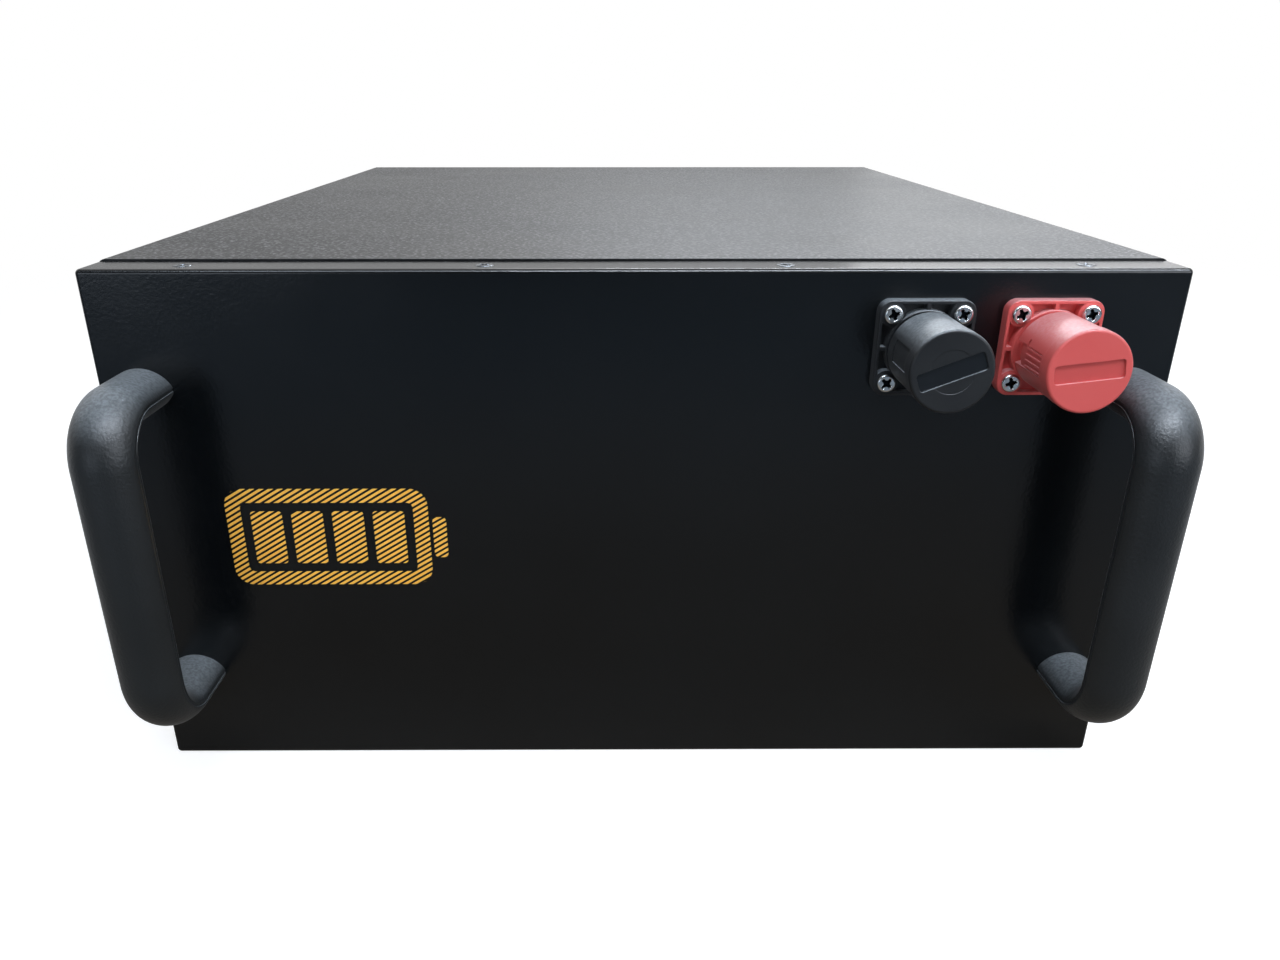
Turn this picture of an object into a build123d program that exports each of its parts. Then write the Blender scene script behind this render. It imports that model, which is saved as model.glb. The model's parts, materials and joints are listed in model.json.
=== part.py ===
from build123d import *
import math
import os

# Rack-style battery box: folded steel case, two moulded U handles, two capped terminals on the front
# panel, and sixteen prismatic cells with their management board inside.
# Millimetres. X runs to the right seen from the front, Y from the front panel to the rear, Z up.
# The origin is the centre of the face that the case rests on.

# ---- Case ----
case_w = 442.0
case_h = 230.0
case_d = 550.0
sheet = 1.5
fold_r = 1.8
corner_r = 2.0
cover_fold_r = 3.0
lap_gap = 0.25
panel_flange = 19.5
cover_gap = 1.5
cover_lift = 0.8
cover_clear_floor = 0.5
frame_depth = 38.0
frame_lip = 9.0
frame_setback = 0.5
pan_flange_h = 30.0
rear_flange_h = 18.0
rear_gap = 0.3

# ---- Countersunk screws of the case ----
screw_r = 2.0
screw_head_r = 3.8
screw_length = 8.0
screw_sink = 0.1
screw_clear_r = 2.3
thread_gap = 0.05
hole_gap = 0.25
cross_w = 0.9
cross_len = 4.2
cross_depth = 1.2
nut_r = 3.6
nut_h = 2.2
flange_screw_y = 9.5
flange_screw_inset = 39.35
flange_screw_count = 4
side_screw_inset = 60.0
cover_screw_z = 14.0
cover_screw_inset = 90.0
cover_screw_count = 3
cover_front_screw_y = 9.0
rear_screw_inset = 33.5
rear_screw_count = 4
rear_screw_drop = 9.0

# ---- Handles ----
handle_inset = 17.7
handle_drop = 1.3
handle_pitch = 135.4
handle_reach = 42.0
handle_w = 26.0
handle_t = 18.0
handle_edge = 2.4
handle_bend_r = 20.0
insert_r = 4.5
insert_depth = 14.0
handle_screw_r = 3.0
handle_screw_clear_r = 3.3
handle_head_r = 5.0
handle_head_h = 3.5
handle_socket_r = 2.3
handle_socket_depth = 2.2
handle_grip_depth = 10.0
washer_r = 6.2
washer_t = 1.6

# ---- Terminals ----
terminal_inset = 79.75
terminal_pitch = 50.7
terminal_drop = 30.6
terminal_flange = 38.4
terminal_flange_t = 5.5
terminal_corner_r = 5.0
terminal_edge_r = 0.5
terminal_rim = 1.4
terminal_floor = 1.5
terminal_rib = 1.6
terminal_screw_pitch = 27.7
boss_r = 5.0
collar_r = 15.6
collar_h = 6.0
collar_edge = 0.4
hub_r = 12.2
hub_h = 27.0
cup_r = 9.5
cup_floor = 8.0
spigot_r = 12.5
spigot_gap = 0.25
spigot_depth = 3.0
gasket_inner_r = 14.2
gasket_outer_r = 17.2
gasket_t = 1.0
pan_head_h = 1.7
pan_head_edge = 0.7
pan_screw_length = 15.0
terminal_nut_af = 7.0
terminal_nut_h = 3.2

# ---- Studs and what clamps on them ----
stud_r = 4.0
stud_tip = 22.0
stud_tail = 18.0
stud_collar_r = 8.0
stud_collar_t = 3.0
stud_chamfer = 0.6
stud_nut_af = 13.0
stud_nut_h = 6.5
stud_washer_r = 8.0
stud_washer_t = 1.6

# ---- Caps and the rings that they snap over ----
seal_section_r = 0.9
seal_fit = 0.05
seal_h = 18.0
groove_depth = 0.85
groove_side_gap = 0.1
cap_base_h = 9.4
cap_front_h = 42.1
cap_base_r = 15.5
cap_front_r = 15.9
cap_band_h = 35.5
cap_band_step = 0.25
cap_edge_r = 1.1
cap_face_t = 2.6
slot_length = 26.0
slot_width = 7.2
slot_corner_r = 1.3
slot_depth = 0.9
black_slot_turn = 21.0
red_slot_turn = 6.6
mark_r = 8.4
mark_depth = 0.12
black_grip_turn = -8.0
red_grip_turn = 179.5
grip_span = 33.0
grip_recess = 0.95
grip_front_h = 34.0
grip_notch_h = 14.5
grip_rib_back_h = 19.5
grip_rib_count = 4
grip_rib_step = 8.5
grip_rib_w = 3.0
grip_rib_drop = 0.3
slit_offset = 21.0
slit_span = 9.5
slit_h = 18.2
slit_w = 1.5
pad_back_h = 16.0
pad_recess = 0.75

# ---- Cells ----
cell_w = 173.7
cell_head_room = 5.75
cell_edge_r = 2.0
cells_per_row = 8
row_gap = 4.0
pad_t = 3.0
separator_t = 1.0
pack_rear_gap = 8.0
bay_d = 83.4
end_plate_t = 8.0
end_plate_drop = 12.0
tie_bar_t = 2.0
tie_bar_h = 25.0
tie_bar_low_z = 40.0
tie_bar_top_gap = 4.5
post_offset = 60.0
post_r = 8.0
post_h = 3.0
post_stud_r = 3.0
post_stud_h = 10.0
busbar_w = 20.0
busbar_t = 2.5
busbar_nut_af = 10.0
busbar_nut_h = 5.0
insulation_t = 1.0
insulation_gap = 4.0

# ---- Management board ----
bracket_t = 1.5
bracket_w = 200.0
bracket_h = 130.0
bracket_foot = 20.0
board_x = -95.0
board_z = 95.0
board_margin = 5.0
board_t = 1.6
heat_sink_t = 8.0
fin_count = 14
fin_t = 1.5
fin_depth = 5.0
board_stand = 2.0
board_screw_r = 1.5
board_screw_inset = 5.0
board_head_r = 2.8
board_head_h = 1.8
tab_t = 3.0
tab_w = 18.0
tab_inset = 11.0
tab_rise = 25.0
connector_x = -70.0
connector_w = 44.0
connector_h = 16.0
connector_t = 8.0
connector_drop = 6.0

# ---- Cables ----
cable_r = 5.5
cable_bend_r = 60.0
cable_low_z = 62.1
harness_r = 2.0
harness_bend_r = 10.0
lug_palm_w = 18.0
lug_palm_t = 3.0
lug_palm_reach = 9.5
lug_neck = 12.0
lug_wall = 1.2
lug_barrel_l = 18.0
lug_overlap = 2.0
lug_seat = 4.0

os.makedirs("parts", exist_ok=True)

# ---- Places worked out from the sizes ----
front_y = -case_d / 2
rear_y = case_d / 2
panel_back_y = front_y + sheet
inner_w = case_w - 2 * (sheet + lap_gap)
inner_low_z = sheet + lap_gap
inner_high_z = case_h - sheet - lap_gap
cover_front_y = front_y + panel_flange + cover_gap
frame_front_y = panel_back_y + frame_setback
frame_back_y = frame_front_y + frame_depth
pan_front_y = frame_back_y + frame_setback
pan_rear_y = rear_y - sheet - rear_gap
front_plane = Plane.XZ.offset(-front_y)
panel_back_plane = Plane.XZ.offset(-panel_back_y)
handle_x = case_w / 2 - handle_inset
handle_z = case_h / 2 - handle_drop
terminal_x = case_w / 2 - terminal_inset
terminal_z = case_h - terminal_drop
terminal_xs = (terminal_x - terminal_pitch / 2, terminal_x + terminal_pitch / 2)
sink_r = screw_head_r + screw_sink + thread_gap


def terminal_face(x):
    """Plane on the panel at one terminal: X to the right, Z up, its normal out of the panel."""
    return Plane(origin=(x, front_y, terminal_z), x_dir=(1, 0, 0), z_dir=(0, -1, 0))


def terminal_section(x):
    """Plane through one terminal's axis: first the radius, then the height off the panel."""
    return Plane(origin=(x, front_y, terminal_z), x_dir=(1, 0, 0), z_dir=(0, 0, -1))


def terminal_axis(x):
    """Axis of one terminal, out of the panel."""
    return Axis((x, front_y, terminal_z), (0, -1, 0))


def save(piece, name):
    """Label one finished piece and write it."""
    piece.label = name
    export_step(piece, f"parts/{name}.step")


def place_copies(template, places):
    """One part that holds a copy of the template at each place."""
    with BuildPart() as group:
        with Locations(*places):
            add(template)
    return group.part


def hexagon_nut(across_flats, height, bore_r):
    """Hexagon nut that sits on its plane and rises from it."""
    with BuildPart() as nut:
        with BuildSketch():
            RegularPolygon(across_flats / 2, 6, major_radius=False)
            Circle(bore_r, mode=Mode.SUBTRACT)
        extrude(amount=height)
    return nut.part


def round_washer(outer_r, bore_r, thickness):
    """Flat washer that sits on its plane and rises from it."""
    with BuildPart() as washer:
        with BuildSketch():
            Circle(outer_r)
            Circle(bore_r, mode=Mode.SUBTRACT)
        extrude(amount=thickness)
    return washer.part


def cross_recess_sketch():
    """Cross that a screwdriver fits."""
    with BuildSketch(mode=Mode.PRIVATE) as cross:
        Rectangle(cross_len, cross_w)
        Rectangle(cross_w, cross_len)
    return cross.sketch


# ---- Places of the case screws: each plane lies on the sheet's outside and faces out ----
first_flange_x = flange_screw_inset - case_w / 2
flange_screw_pitch = -2 * first_flange_x / (flange_screw_count - 1)
flange_screw_xs = [first_flange_x + flange_screw_pitch * i for i in range(flange_screw_count)]
side_screw_z = (side_screw_inset, case_h - side_screw_inset)
screw_y = front_y + flange_screw_y
panel_screw_places = []
for x in flange_screw_xs:
    panel_screw_places.append(Plane(origin=(x, screw_y, case_h), z_dir=(0, 0, 1)))
    panel_screw_places.append(Plane(origin=(x, screw_y, 0), z_dir=(0, 0, -1)))
for side in (-1, 1):
    for z in side_screw_z:
        panel_screw_places.append(Plane(origin=(side * case_w / 2, screw_y, z), z_dir=(side, 0, 0)))

cover_screw_pitch = (pan_rear_y - pan_front_y - 2 * cover_screw_inset) / (cover_screw_count - 1)
cover_side_ys = [pan_front_y + cover_screw_inset + cover_screw_pitch * i for i in range(cover_screw_count)]
cover_screw_places = []
for side in (-1, 1):
    for y in cover_side_ys:
        cover_screw_places.append(Plane(origin=(side * case_w / 2, y, cover_screw_z), z_dir=(side, 0, 0)))
    for z in side_screw_z:
        y = cover_front_y + cover_front_screw_y
        cover_screw_places.append(Plane(origin=(side * case_w / 2, y, z), z_dir=(side, 0, 0)))

first_rear_x = rear_screw_inset - case_w / 2
rear_screw_pitch = -2 * first_rear_x / (rear_screw_count - 1)
rear_screw_z = case_h + cover_lift - rear_screw_drop
rear_screw_places = [
    Plane(origin=(first_rear_x + rear_screw_pitch * i, rear_y, rear_screw_z), z_dir=(0, 1, 0))
    for i in range(rear_screw_count)
]

# ---- Places of the handle feet on the panel ----
handle_feet = [
    (side * handle_x, handle_z + end * handle_pitch / 2) for side in (-1, 1) for end in (-1, 1)
]

# ---- Front panel: a tray folded back on four sides ----
with BuildPart() as front_panel:
    with BuildSketch(front_plane):
        with Locations((0, case_h / 2)):
            RectangleRounded(case_w, case_h, corner_r)
    extrude(amount=-panel_flange)
    fillet(front_panel.faces().sort_by(Axis.Y)[0].edges(), fold_r)
    with BuildSketch(panel_back_plane):
        with Locations((0, case_h / 2)):
            RectangleRounded(case_w - 2 * sheet, case_h - 2 * sheet, corner_r - sheet)
    extrude(amount=-panel_flange, mode=Mode.SUBTRACT)
    with BuildSketch(front_plane):
        with Locations(*[(x, terminal_z) for x in terminal_xs]):
            Circle(spigot_r + spigot_gap)
        for x in terminal_xs:
            with Locations((x, terminal_z)):
                with GridLocations(terminal_screw_pitch, terminal_screw_pitch, 2, 2):
                    Circle(screw_clear_r)
        with Locations(*handle_feet):
            Circle(handle_screw_clear_r)
    extrude(amount=-panel_flange, mode=Mode.SUBTRACT)
    with Locations(*panel_screw_places):
        CounterSinkHole(screw_clear_r, sink_r, depth=2 * sheet, counter_sink_angle=90)
save(front_panel.part, "front_panel")

# ---- Front frame: a folded ring inside the panel's flanges, with a lip that stiffens it ----
frame_h = inner_high_z - inner_low_z
with BuildPart() as front_frame:
    with BuildSketch(Plane.XZ.offset(-frame_front_y)):
        with Locations((0, case_h / 2)):
            Rectangle(inner_w, frame_h)
            Rectangle(inner_w - 2 * sheet, frame_h - 2 * sheet, mode=Mode.SUBTRACT)
    extrude(amount=-frame_depth)
    with BuildSketch(Plane.XZ.offset(-frame_back_y + sheet)):
        with Locations((0, case_h / 2)):
            Rectangle(inner_w, frame_h)
            Rectangle(inner_w - 2 * frame_lip, frame_h - 2 * frame_lip, mode=Mode.SUBTRACT)
    extrude(amount=-sheet)
    with Locations(*panel_screw_places, *cover_screw_places):
        Hole(screw_clear_r, depth=3 * sheet)
save(front_frame.part, "front_frame")

# ---- Top cover: top, both sides and a short rear flange, folded from one sheet ----
cover_h = case_h + cover_lift - cover_clear_floor
cover_mid_z = cover_clear_floor + cover_h / 2
with BuildPart() as top_cover:
    with BuildSketch(Plane.XZ.offset(-cover_front_y)):
        with Locations((0, cover_mid_z)):
            Rectangle(case_w, cover_h)
    extrude(amount=-(rear_y - cover_front_y))
    fillet(top_cover.edges().filter_by(Axis.Y).group_by(Axis.Z)[-1], cover_fold_r)
    with BuildSketch(Plane.XZ.offset(-cover_front_y)):
        with Locations((0, cover_mid_z - sheet)):
            Rectangle(case_w - 2 * sheet, cover_h)
    extrude(amount=-(rear_y - sheet - cover_front_y), mode=Mode.SUBTRACT)
    with BuildSketch(Plane.XZ.offset(-cover_front_y)):
        with Locations((0, cover_mid_z - rear_flange_h)):
            Rectangle(case_w - 2 * sheet, cover_h)
    extrude(amount=-(rear_y - cover_front_y), mode=Mode.SUBTRACT)
    with Locations(*cover_screw_places, *rear_screw_places):
        CounterSinkHole(screw_clear_r, sink_r, depth=2 * sheet, counter_sink_angle=90)
save(top_cover.part, "top_cover")

# ---- Base pan: floor, low side flanges and the full rear wall ----
with BuildPart() as base_pan:
    with BuildSketch(Plane.XY):
        with Locations((0, (cover_front_y + pan_rear_y) / 2)):
            Rectangle(inner_w, pan_rear_y - cover_front_y)
    extrude(amount=sheet)
    with BuildSketch(Plane.XY):
        for side in (-1, 1):
            with Locations((side * (inner_w - sheet) / 2, (pan_front_y + pan_rear_y) / 2)):
                Rectangle(sheet, pan_rear_y - pan_front_y)
    extrude(amount=pan_flange_h)
    with BuildSketch(Plane.XY):
        with Locations((0, pan_rear_y - sheet / 2)):
            Rectangle(inner_w, sheet)
    extrude(amount=inner_high_z)
    with Locations(*cover_screw_places, *rear_screw_places):
        Hole(screw_clear_r, depth=4 * sheet)
save(base_pan.part, "base_pan")

# ---- Case screws: countersunk, with a cross recess, their heads just under the sheet's face ----
head_cone_h = screw_head_r - screw_r
cross = cross_recess_sketch()
with BuildPart() as case_screw:
    with BuildSketch(Plane.XY.offset(-screw_length)):
        Circle(screw_r)
    extrude(amount=screw_length - screw_sink)
    with BuildSketch(Plane.XY.offset(-screw_sink)):
        Circle(screw_head_r)
    extrude(amount=-head_cone_h, taper=45)
    with BuildSketch(Plane.XY.offset(-screw_sink)):
        add(cross)
    extrude(amount=-cross_depth, mode=Mode.SUBTRACT)
save(place_copies(case_screw.part, panel_screw_places), "panel_screws")
save(place_copies(case_screw.part, cover_screw_places + rear_screw_places), "cover_screws")

# ---- Press nuts: behind each sheet that a case screw pulls on ----
nut_back = 2 * sheet + lap_gap
rear_nut_back = 2 * sheet + rear_gap
nut_ring = round_washer(nut_r, screw_r + thread_gap, nut_h)
press_nut = Pos(0, 0, -nut_back - nut_h) * nut_ring
rear_nut = Pos(0, 0, -rear_nut_back - nut_h) * nut_ring
with BuildPart() as press_nuts:
    with Locations(*panel_screw_places, *cover_screw_places):
        add(press_nut)
    with Locations(*rear_screw_places):
        add(rear_nut)
save(press_nuts.part, "press_nuts")


# ---- Handles: one lens-shaped section along a U, with a flat parting edge down both sides ----
def make_handle(x):
    """Moulded U handle on the panel, with a blind hole in each foot for its insert."""
    foot_low = Plane(origin=(x, front_y, handle_z - handle_pitch / 2), x_dir=(1, 0, 0), z_dir=(0, -1, 0))
    half_w = handle_w / 2
    half_t = handle_t / 2
    half_edge = handle_edge / 2
    with BuildPart() as handle:
        with BuildLine() as u_line:
            FilletPolyline(
                (x, front_y, handle_z - handle_pitch / 2),
                (x, front_y - handle_reach, handle_z - handle_pitch / 2),
                (x, front_y - handle_reach, handle_z + handle_pitch / 2),
                (x, front_y, handle_z + handle_pitch / 2),
                radius=handle_bend_r,
            )
        with BuildSketch(foot_low):
            with BuildLine():
                Line((half_w, -half_edge), (half_w, half_edge))
                ThreePointArc((half_w, half_edge), (0, half_t), (-half_w, half_edge))
                Line((-half_w, half_edge), (-half_w, -half_edge))
                ThreePointArc((-half_w, -half_edge), (0, -half_t), (half_w, -half_edge))
            make_face()
        sweep(path=u_line.line)
        with BuildSketch(front_plane):
            with Locations(*[foot for foot in handle_feet if foot[0] * x > 0]):
                Circle(insert_r)
        extrude(amount=insert_depth, mode=Mode.SUBTRACT)
    return handle.part


save(make_handle(-handle_x), "left_handle")
save(make_handle(handle_x), "right_handle")

with BuildPart() as handle_inserts:
    with BuildSketch(front_plane):
        with Locations(*handle_feet):
            Circle(insert_r)
            Circle(handle_screw_r + thread_gap, mode=Mode.SUBTRACT)
    extrude(amount=insert_depth)
save(handle_inserts.part, "handle_inserts")

with BuildPart() as handle_washers:
    with BuildSketch(panel_back_plane):
        with Locations(*handle_feet):
            Circle(washer_r)
            Circle(handle_screw_clear_r, mode=Mode.SUBTRACT)
    extrude(amount=-washer_t)
save(handle_washers.part, "handle_washers")

with BuildPart() as handle_screws:
    with BuildSketch(panel_back_plane.offset(-washer_t)):
        with Locations(*handle_feet):
            Circle(handle_head_r)
    extrude(amount=-handle_head_h)
    with BuildSketch(panel_back_plane.offset(-washer_t)):
        with Locations(*handle_feet):
            Circle(handle_screw_r)
    extrude(amount=washer_t + sheet + handle_grip_depth)
    with BuildSketch(panel_back_plane.offset(-washer_t - handle_head_h)):
        with Locations(*handle_feet):
            RegularPolygon(handle_socket_r, 6)
    extrude(amount=handle_socket_depth, mode=Mode.SUBTRACT)
save(handle_screws.part, "handle_screws")


# ---- Terminal bodies: a ribbed square flange, a collar, and a hub that stands inside the cap ----
def make_terminal_body(x):
    """Moulded body of one terminal."""
    face = terminal_face(x)
    rim_inner = terminal_flange - 2 * terminal_rim
    corner_fill = (terminal_flange - terminal_screw_pitch) / 2
    seal_inner_r = hub_r - groove_depth
    groove_h = 2 * (seal_section_r + groove_side_gap)
    with BuildPart() as body:
        with BuildSketch(face):
            RectangleRounded(terminal_flange, terminal_flange, terminal_corner_r)
        extrude(amount=terminal_flange_t)
        fillet(body.faces().sort_by(Axis.Y)[0].edges(), terminal_edge_r)
        with BuildSketch(face.offset(terminal_floor)):
            RectangleRounded(rim_inner, rim_inner, terminal_corner_r - terminal_rim)
            Circle(collar_r, mode=Mode.SUBTRACT)
            Rectangle(terminal_flange, terminal_rib, mode=Mode.SUBTRACT)
            Rectangle(terminal_rib, terminal_flange, mode=Mode.SUBTRACT)
            with GridLocations(terminal_screw_pitch, terminal_screw_pitch, 2, 2):
                Circle(boss_r, mode=Mode.SUBTRACT)
            corner_pitch = terminal_screw_pitch + corner_fill
            with GridLocations(corner_pitch, corner_pitch, 2, 2):
                Rectangle(corner_fill, corner_fill, mode=Mode.SUBTRACT)
        extrude(amount=terminal_flange_t, mode=Mode.SUBTRACT)
        with BuildSketch(terminal_section(x)):
            with BuildLine():
                Polyline(
                    (0, 0),
                    (collar_r, 0),
                    (collar_r, collar_h - collar_edge),
                    (collar_r - collar_edge, collar_h),
                    (hub_r, collar_h),
                    (hub_r, seal_h - groove_h / 2),
                    (seal_inner_r, seal_h - groove_h / 2),
                    (seal_inner_r, seal_h + groove_h / 2),
                    (hub_r, seal_h + groove_h / 2),
                    (hub_r, hub_h),
                    (cup_r, hub_h),
                    (cup_r, cup_floor),
                    (0, cup_floor),
                    close=True,
                )
            make_face()
        revolve(axis=terminal_axis(x))
        with BuildSketch(face):
            Circle(spigot_r)
        extrude(amount=-spigot_depth)
        with BuildSketch(face):
            Circle(stud_r + thread_gap)
        extrude(amount=terminal_flange, both=True, mode=Mode.SUBTRACT)
        with BuildSketch(face):
            with GridLocations(terminal_screw_pitch, terminal_screw_pitch, 2, 2):
                Circle(screw_r + hole_gap)
        extrude(amount=terminal_flange_t, mode=Mode.SUBTRACT)
        with BuildSketch(face):
            Circle(gasket_outer_r)
            Circle(gasket_inner_r, mode=Mode.SUBTRACT)
        extrude(amount=gasket_t, mode=Mode.SUBTRACT)
    return body.part


def make_gasket(x):
    """Flat rubber gasket in the back of the flange."""
    with BuildPart() as gasket:
        with BuildSketch(terminal_face(x)):
            Circle(gasket_outer_r)
            Circle(gasket_inner_r, mode=Mode.SUBTRACT)
        extrude(amount=gasket_t)
    return gasket.part


def make_stud(x):
    """Brass stud through the body, its collar on the cup's floor."""
    face = terminal_face(x)
    with BuildPart() as stud:
        with BuildSketch(face.offset(-stud_tail)):
            Circle(stud_r)
        extrude(amount=stud_tail + stud_tip)
        chamfer(stud.edges().filter_by(GeomType.CIRCLE), stud_chamfer)
        with BuildSketch(face.offset(cup_floor)):
            Circle(stud_collar_r)
        extrude(amount=stud_collar_t)
    return stud.part


def make_seal(x):
    """Rubber ring in the hub's groove, which the cap snaps over and turns on."""
    ring_r = hub_r - groove_depth + seal_fit + seal_section_r
    with BuildPart() as seal:
        with BuildSketch(terminal_section(x)):
            with Locations((ring_r, seal_h)):
                Circle(seal_section_r)
        revolve(axis=terminal_axis(x))
    return seal.part


def ring_sector(inner_r, outer_r, middle, span):
    """Sketch of part of a ring, centred on one angle in degrees."""
    start = middle - span / 2
    with BuildSketch(mode=Mode.PRIVATE) as sector:
        with BuildLine():
            outer = CenterArc((0, 0), outer_r, start, span)
            inner = CenterArc((0, 0), inner_r, start, span)
            Line(outer @ 0, inner @ 0)
            Line(outer @ 1, inner @ 1)
        make_face()
    return sector.sketch


cap_bore_r = hub_r - groove_depth + 2 * seal_section_r + 2 * seal_fit
cap_reach_r = max(cap_base_r, cap_front_r) + 1


def make_cap(x, slot_turn, grip_turn, marked):
    """Cap of one terminal; the slot in its face and the ribbed grip on its side stand at given angles."""
    face = terminal_face(x)
    bore_top = cap_front_h - cap_face_t
    with BuildPart() as cap:
        with BuildSketch(terminal_section(x)):
            with BuildLine():
                Polyline(
                    (0, bore_top),
                    (cap_bore_r, bore_top),
                    (cap_bore_r, cap_base_h),
                    (cap_base_r, cap_base_h),
                    (cap_front_r - cap_band_step, cap_band_h),
                    (cap_front_r, cap_band_h),
                    (cap_front_r, cap_front_h),
                    (0, cap_front_h),
                    close=True,
                )
            make_face()
        revolve(axis=terminal_axis(x))
        rim = cap.edges().filter_by(GeomType.CIRCLE).sort_by(Axis.Y)[0]
        fillet(rim, cap_edge_r)
        # Ribbed grip: a sunk field with a notch at its mouth, ribs across it and a slit beside it.
        with BuildSketch(face.offset(grip_notch_h)):
            add(ring_sector(cap_front_r - grip_recess, cap_reach_r, grip_turn, grip_span))
        extrude(amount=grip_front_h - grip_notch_h, mode=Mode.SUBTRACT)
        with BuildSketch(face.offset(cap_base_h)):
            add(ring_sector(hub_r, cap_reach_r, grip_turn, grip_span))
        extrude(amount=grip_notch_h - cap_base_h, mode=Mode.SUBTRACT)
        with BuildSketch(face.offset(grip_rib_back_h)):
            for i in range(grip_rib_count):
                turn = grip_turn + grip_rib_step * (i - (grip_rib_count - 1) / 2)
                rib_low_r = (cap_bore_r + cap_front_r) / 2
                add(ring_sector(rib_low_r, cap_front_r - grip_rib_drop, turn, grip_rib_w))
        extrude(amount=grip_front_h - grip_rib_back_h)
        with BuildSketch(face.offset(slit_h)):
            add(ring_sector(hub_r, cap_reach_r, grip_turn - slit_offset, slit_span))
        extrude(amount=slit_w, mode=Mode.SUBTRACT)
        # Smooth thumb pad on the other side.
        with BuildSketch(face.offset(pad_back_h)):
            add(ring_sector(cap_front_r - pad_recess, cap_reach_r, grip_turn + 180, grip_span))
        extrude(amount=grip_front_h - pad_back_h, mode=Mode.SUBTRACT)
        with BuildSketch(face.offset(cap_front_h)):
            RectangleRounded(slot_length, slot_width, slot_corner_r, rotation=slot_turn)
        extrude(amount=-slot_depth, mode=Mode.SUBTRACT)
        if marked:
            with BuildSketch(face.offset(cap_front_h)):
                Circle(mark_r)
            extrude(amount=-mark_depth, mode=Mode.SUBTRACT)
    return cap.part


black_x, red_x = terminal_xs
save(make_terminal_body(black_x), "black_terminal_body")
save(make_terminal_body(red_x), "red_terminal_body")
save(make_gasket(black_x), "black_gasket")
save(make_gasket(red_x), "red_gasket")
save(make_stud(black_x), "negative_stud")
save(make_stud(red_x), "positive_stud")
save(make_seal(black_x), "black_seal_ring")
save(make_seal(red_x), "red_seal_ring")
save(make_cap(black_x, black_slot_turn, black_grip_turn, True), "black_cap")
save(make_cap(red_x, red_slot_turn, red_grip_turn, False), "red_cap")

# ---- Terminal fasteners ----
terminal_screw_places = []
terminal_nut_places = []
for x in terminal_xs:
    for side in (-1, 1):
        for end in (-1, 1):
            screw_x = x + side * terminal_screw_pitch / 2
            screw_z = terminal_z + end * terminal_screw_pitch / 2
            out_y = front_y - terminal_flange_t
            terminal_screw_places.append(Plane(origin=(screw_x, out_y, screw_z), z_dir=(0, -1, 0)))
            terminal_nut_places.append(Plane(origin=(screw_x, panel_back_y, screw_z), z_dir=(0, 1, 0)))

with BuildPart() as pan_screw:
    with BuildSketch():
        Circle(screw_head_r)
    extrude(amount=pan_head_h)
    fillet(pan_screw.faces().sort_by(Axis.Z)[-1].edges(), pan_head_edge)
    with BuildSketch():
        Circle(screw_r)
    extrude(amount=-pan_screw_length)
    with BuildSketch(Plane.XY.offset(pan_head_h)):
        add(cross)
    extrude(amount=-cross_depth, mode=Mode.SUBTRACT)
save(place_copies(pan_screw.part, terminal_screw_places), "terminal_screws")

terminal_nut = hexagon_nut(terminal_nut_af, terminal_nut_h, screw_r + thread_gap)
save(place_copies(terminal_nut, terminal_nut_places), "terminal_nuts")

spigot_y = front_y + spigot_depth
washer_places = [Plane(origin=(x, spigot_y, terminal_z), z_dir=(0, 1, 0)) for x in terminal_xs]
stud_washer = round_washer(stud_washer_r, stud_r + thread_gap, stud_washer_t)
save(place_copies(stud_washer, washer_places), "stud_washers")

stud_lug_y = spigot_y + stud_washer_t
stud_nut_y = stud_lug_y + lug_palm_t
stud_nut_places = [Plane(origin=(x, stud_nut_y, terminal_z), z_dir=(0, 1, 0)) for x in terminal_xs]
stud_nut = hexagon_nut(stud_nut_af, stud_nut_h, stud_r + thread_gap)
save(place_copies(stud_nut, stud_nut_places), "stud_nuts")

# ---- Cells: two rows along the case, clamped between end plates ----
pack_rear_y = pan_rear_y - sheet - pack_rear_gap
rear_plate_y = pack_rear_y - end_plate_t
cells_rear_y = rear_plate_y - separator_t
front_plate_y = panel_back_y + bay_d
cells_front_y = front_plate_y + end_plate_t + separator_t
cell_pitch = (cells_rear_y + separator_t - cells_front_y) / cells_per_row
cell_t = cell_pitch - separator_t
cell_low_z = sheet + pad_t
cell_top_z = inner_high_z - cell_head_room - insulation_t - insulation_gap - post_stud_h - post_h
cell_h = cell_top_z - cell_low_z
end_plate_h = cell_h - end_plate_drop
tie_bar_z = (tie_bar_low_z, sheet + end_plate_h - tie_bar_top_gap - tie_bar_h)
post_top_z = cell_top_z + post_h
row_x = (cell_w + row_gap) / 2
pack_w = 2 * cell_w + row_gap
cell_ys = [cells_front_y + cell_t / 2 + cell_pitch * i for i in range(cells_per_row)]


def make_cell(x, y):
    """Prismatic cell: a can with two threaded posts on its lid."""
    with BuildPart() as cell:
        with BuildSketch(Plane.XY.offset(cell_low_z)):
            with Locations((x, y)):
                RectangleRounded(cell_w, cell_t, cell_edge_r)
        extrude(amount=cell_h)
        with BuildSketch(Plane.XY.offset(cell_top_z)):
            with Locations((x - post_offset, y), (x + post_offset, y)):
                Circle(post_r)
        extrude(amount=post_h)
        with BuildSketch(Plane.XY.offset(post_top_z)):
            with Locations((x - post_offset, y), (x + post_offset, y)):
                Circle(post_stud_r)
        extrude(amount=post_stud_h)
    return cell.part


cell_number = 0
for side in (-1, 1):
    for y in cell_ys:
        cell_number += 1
        save(make_cell(side * row_x, y), f"cell_{cell_number:02d}")

with BuildPart() as floor_pad:
    with BuildSketch(Plane.XY.offset(sheet)):
        with Locations((0, (cells_front_y + cells_rear_y) / 2)):
            Rectangle(pack_w, cells_rear_y - cells_front_y)
    extrude(amount=pad_t)
save(floor_pad.part, "floor_pad")

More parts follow.
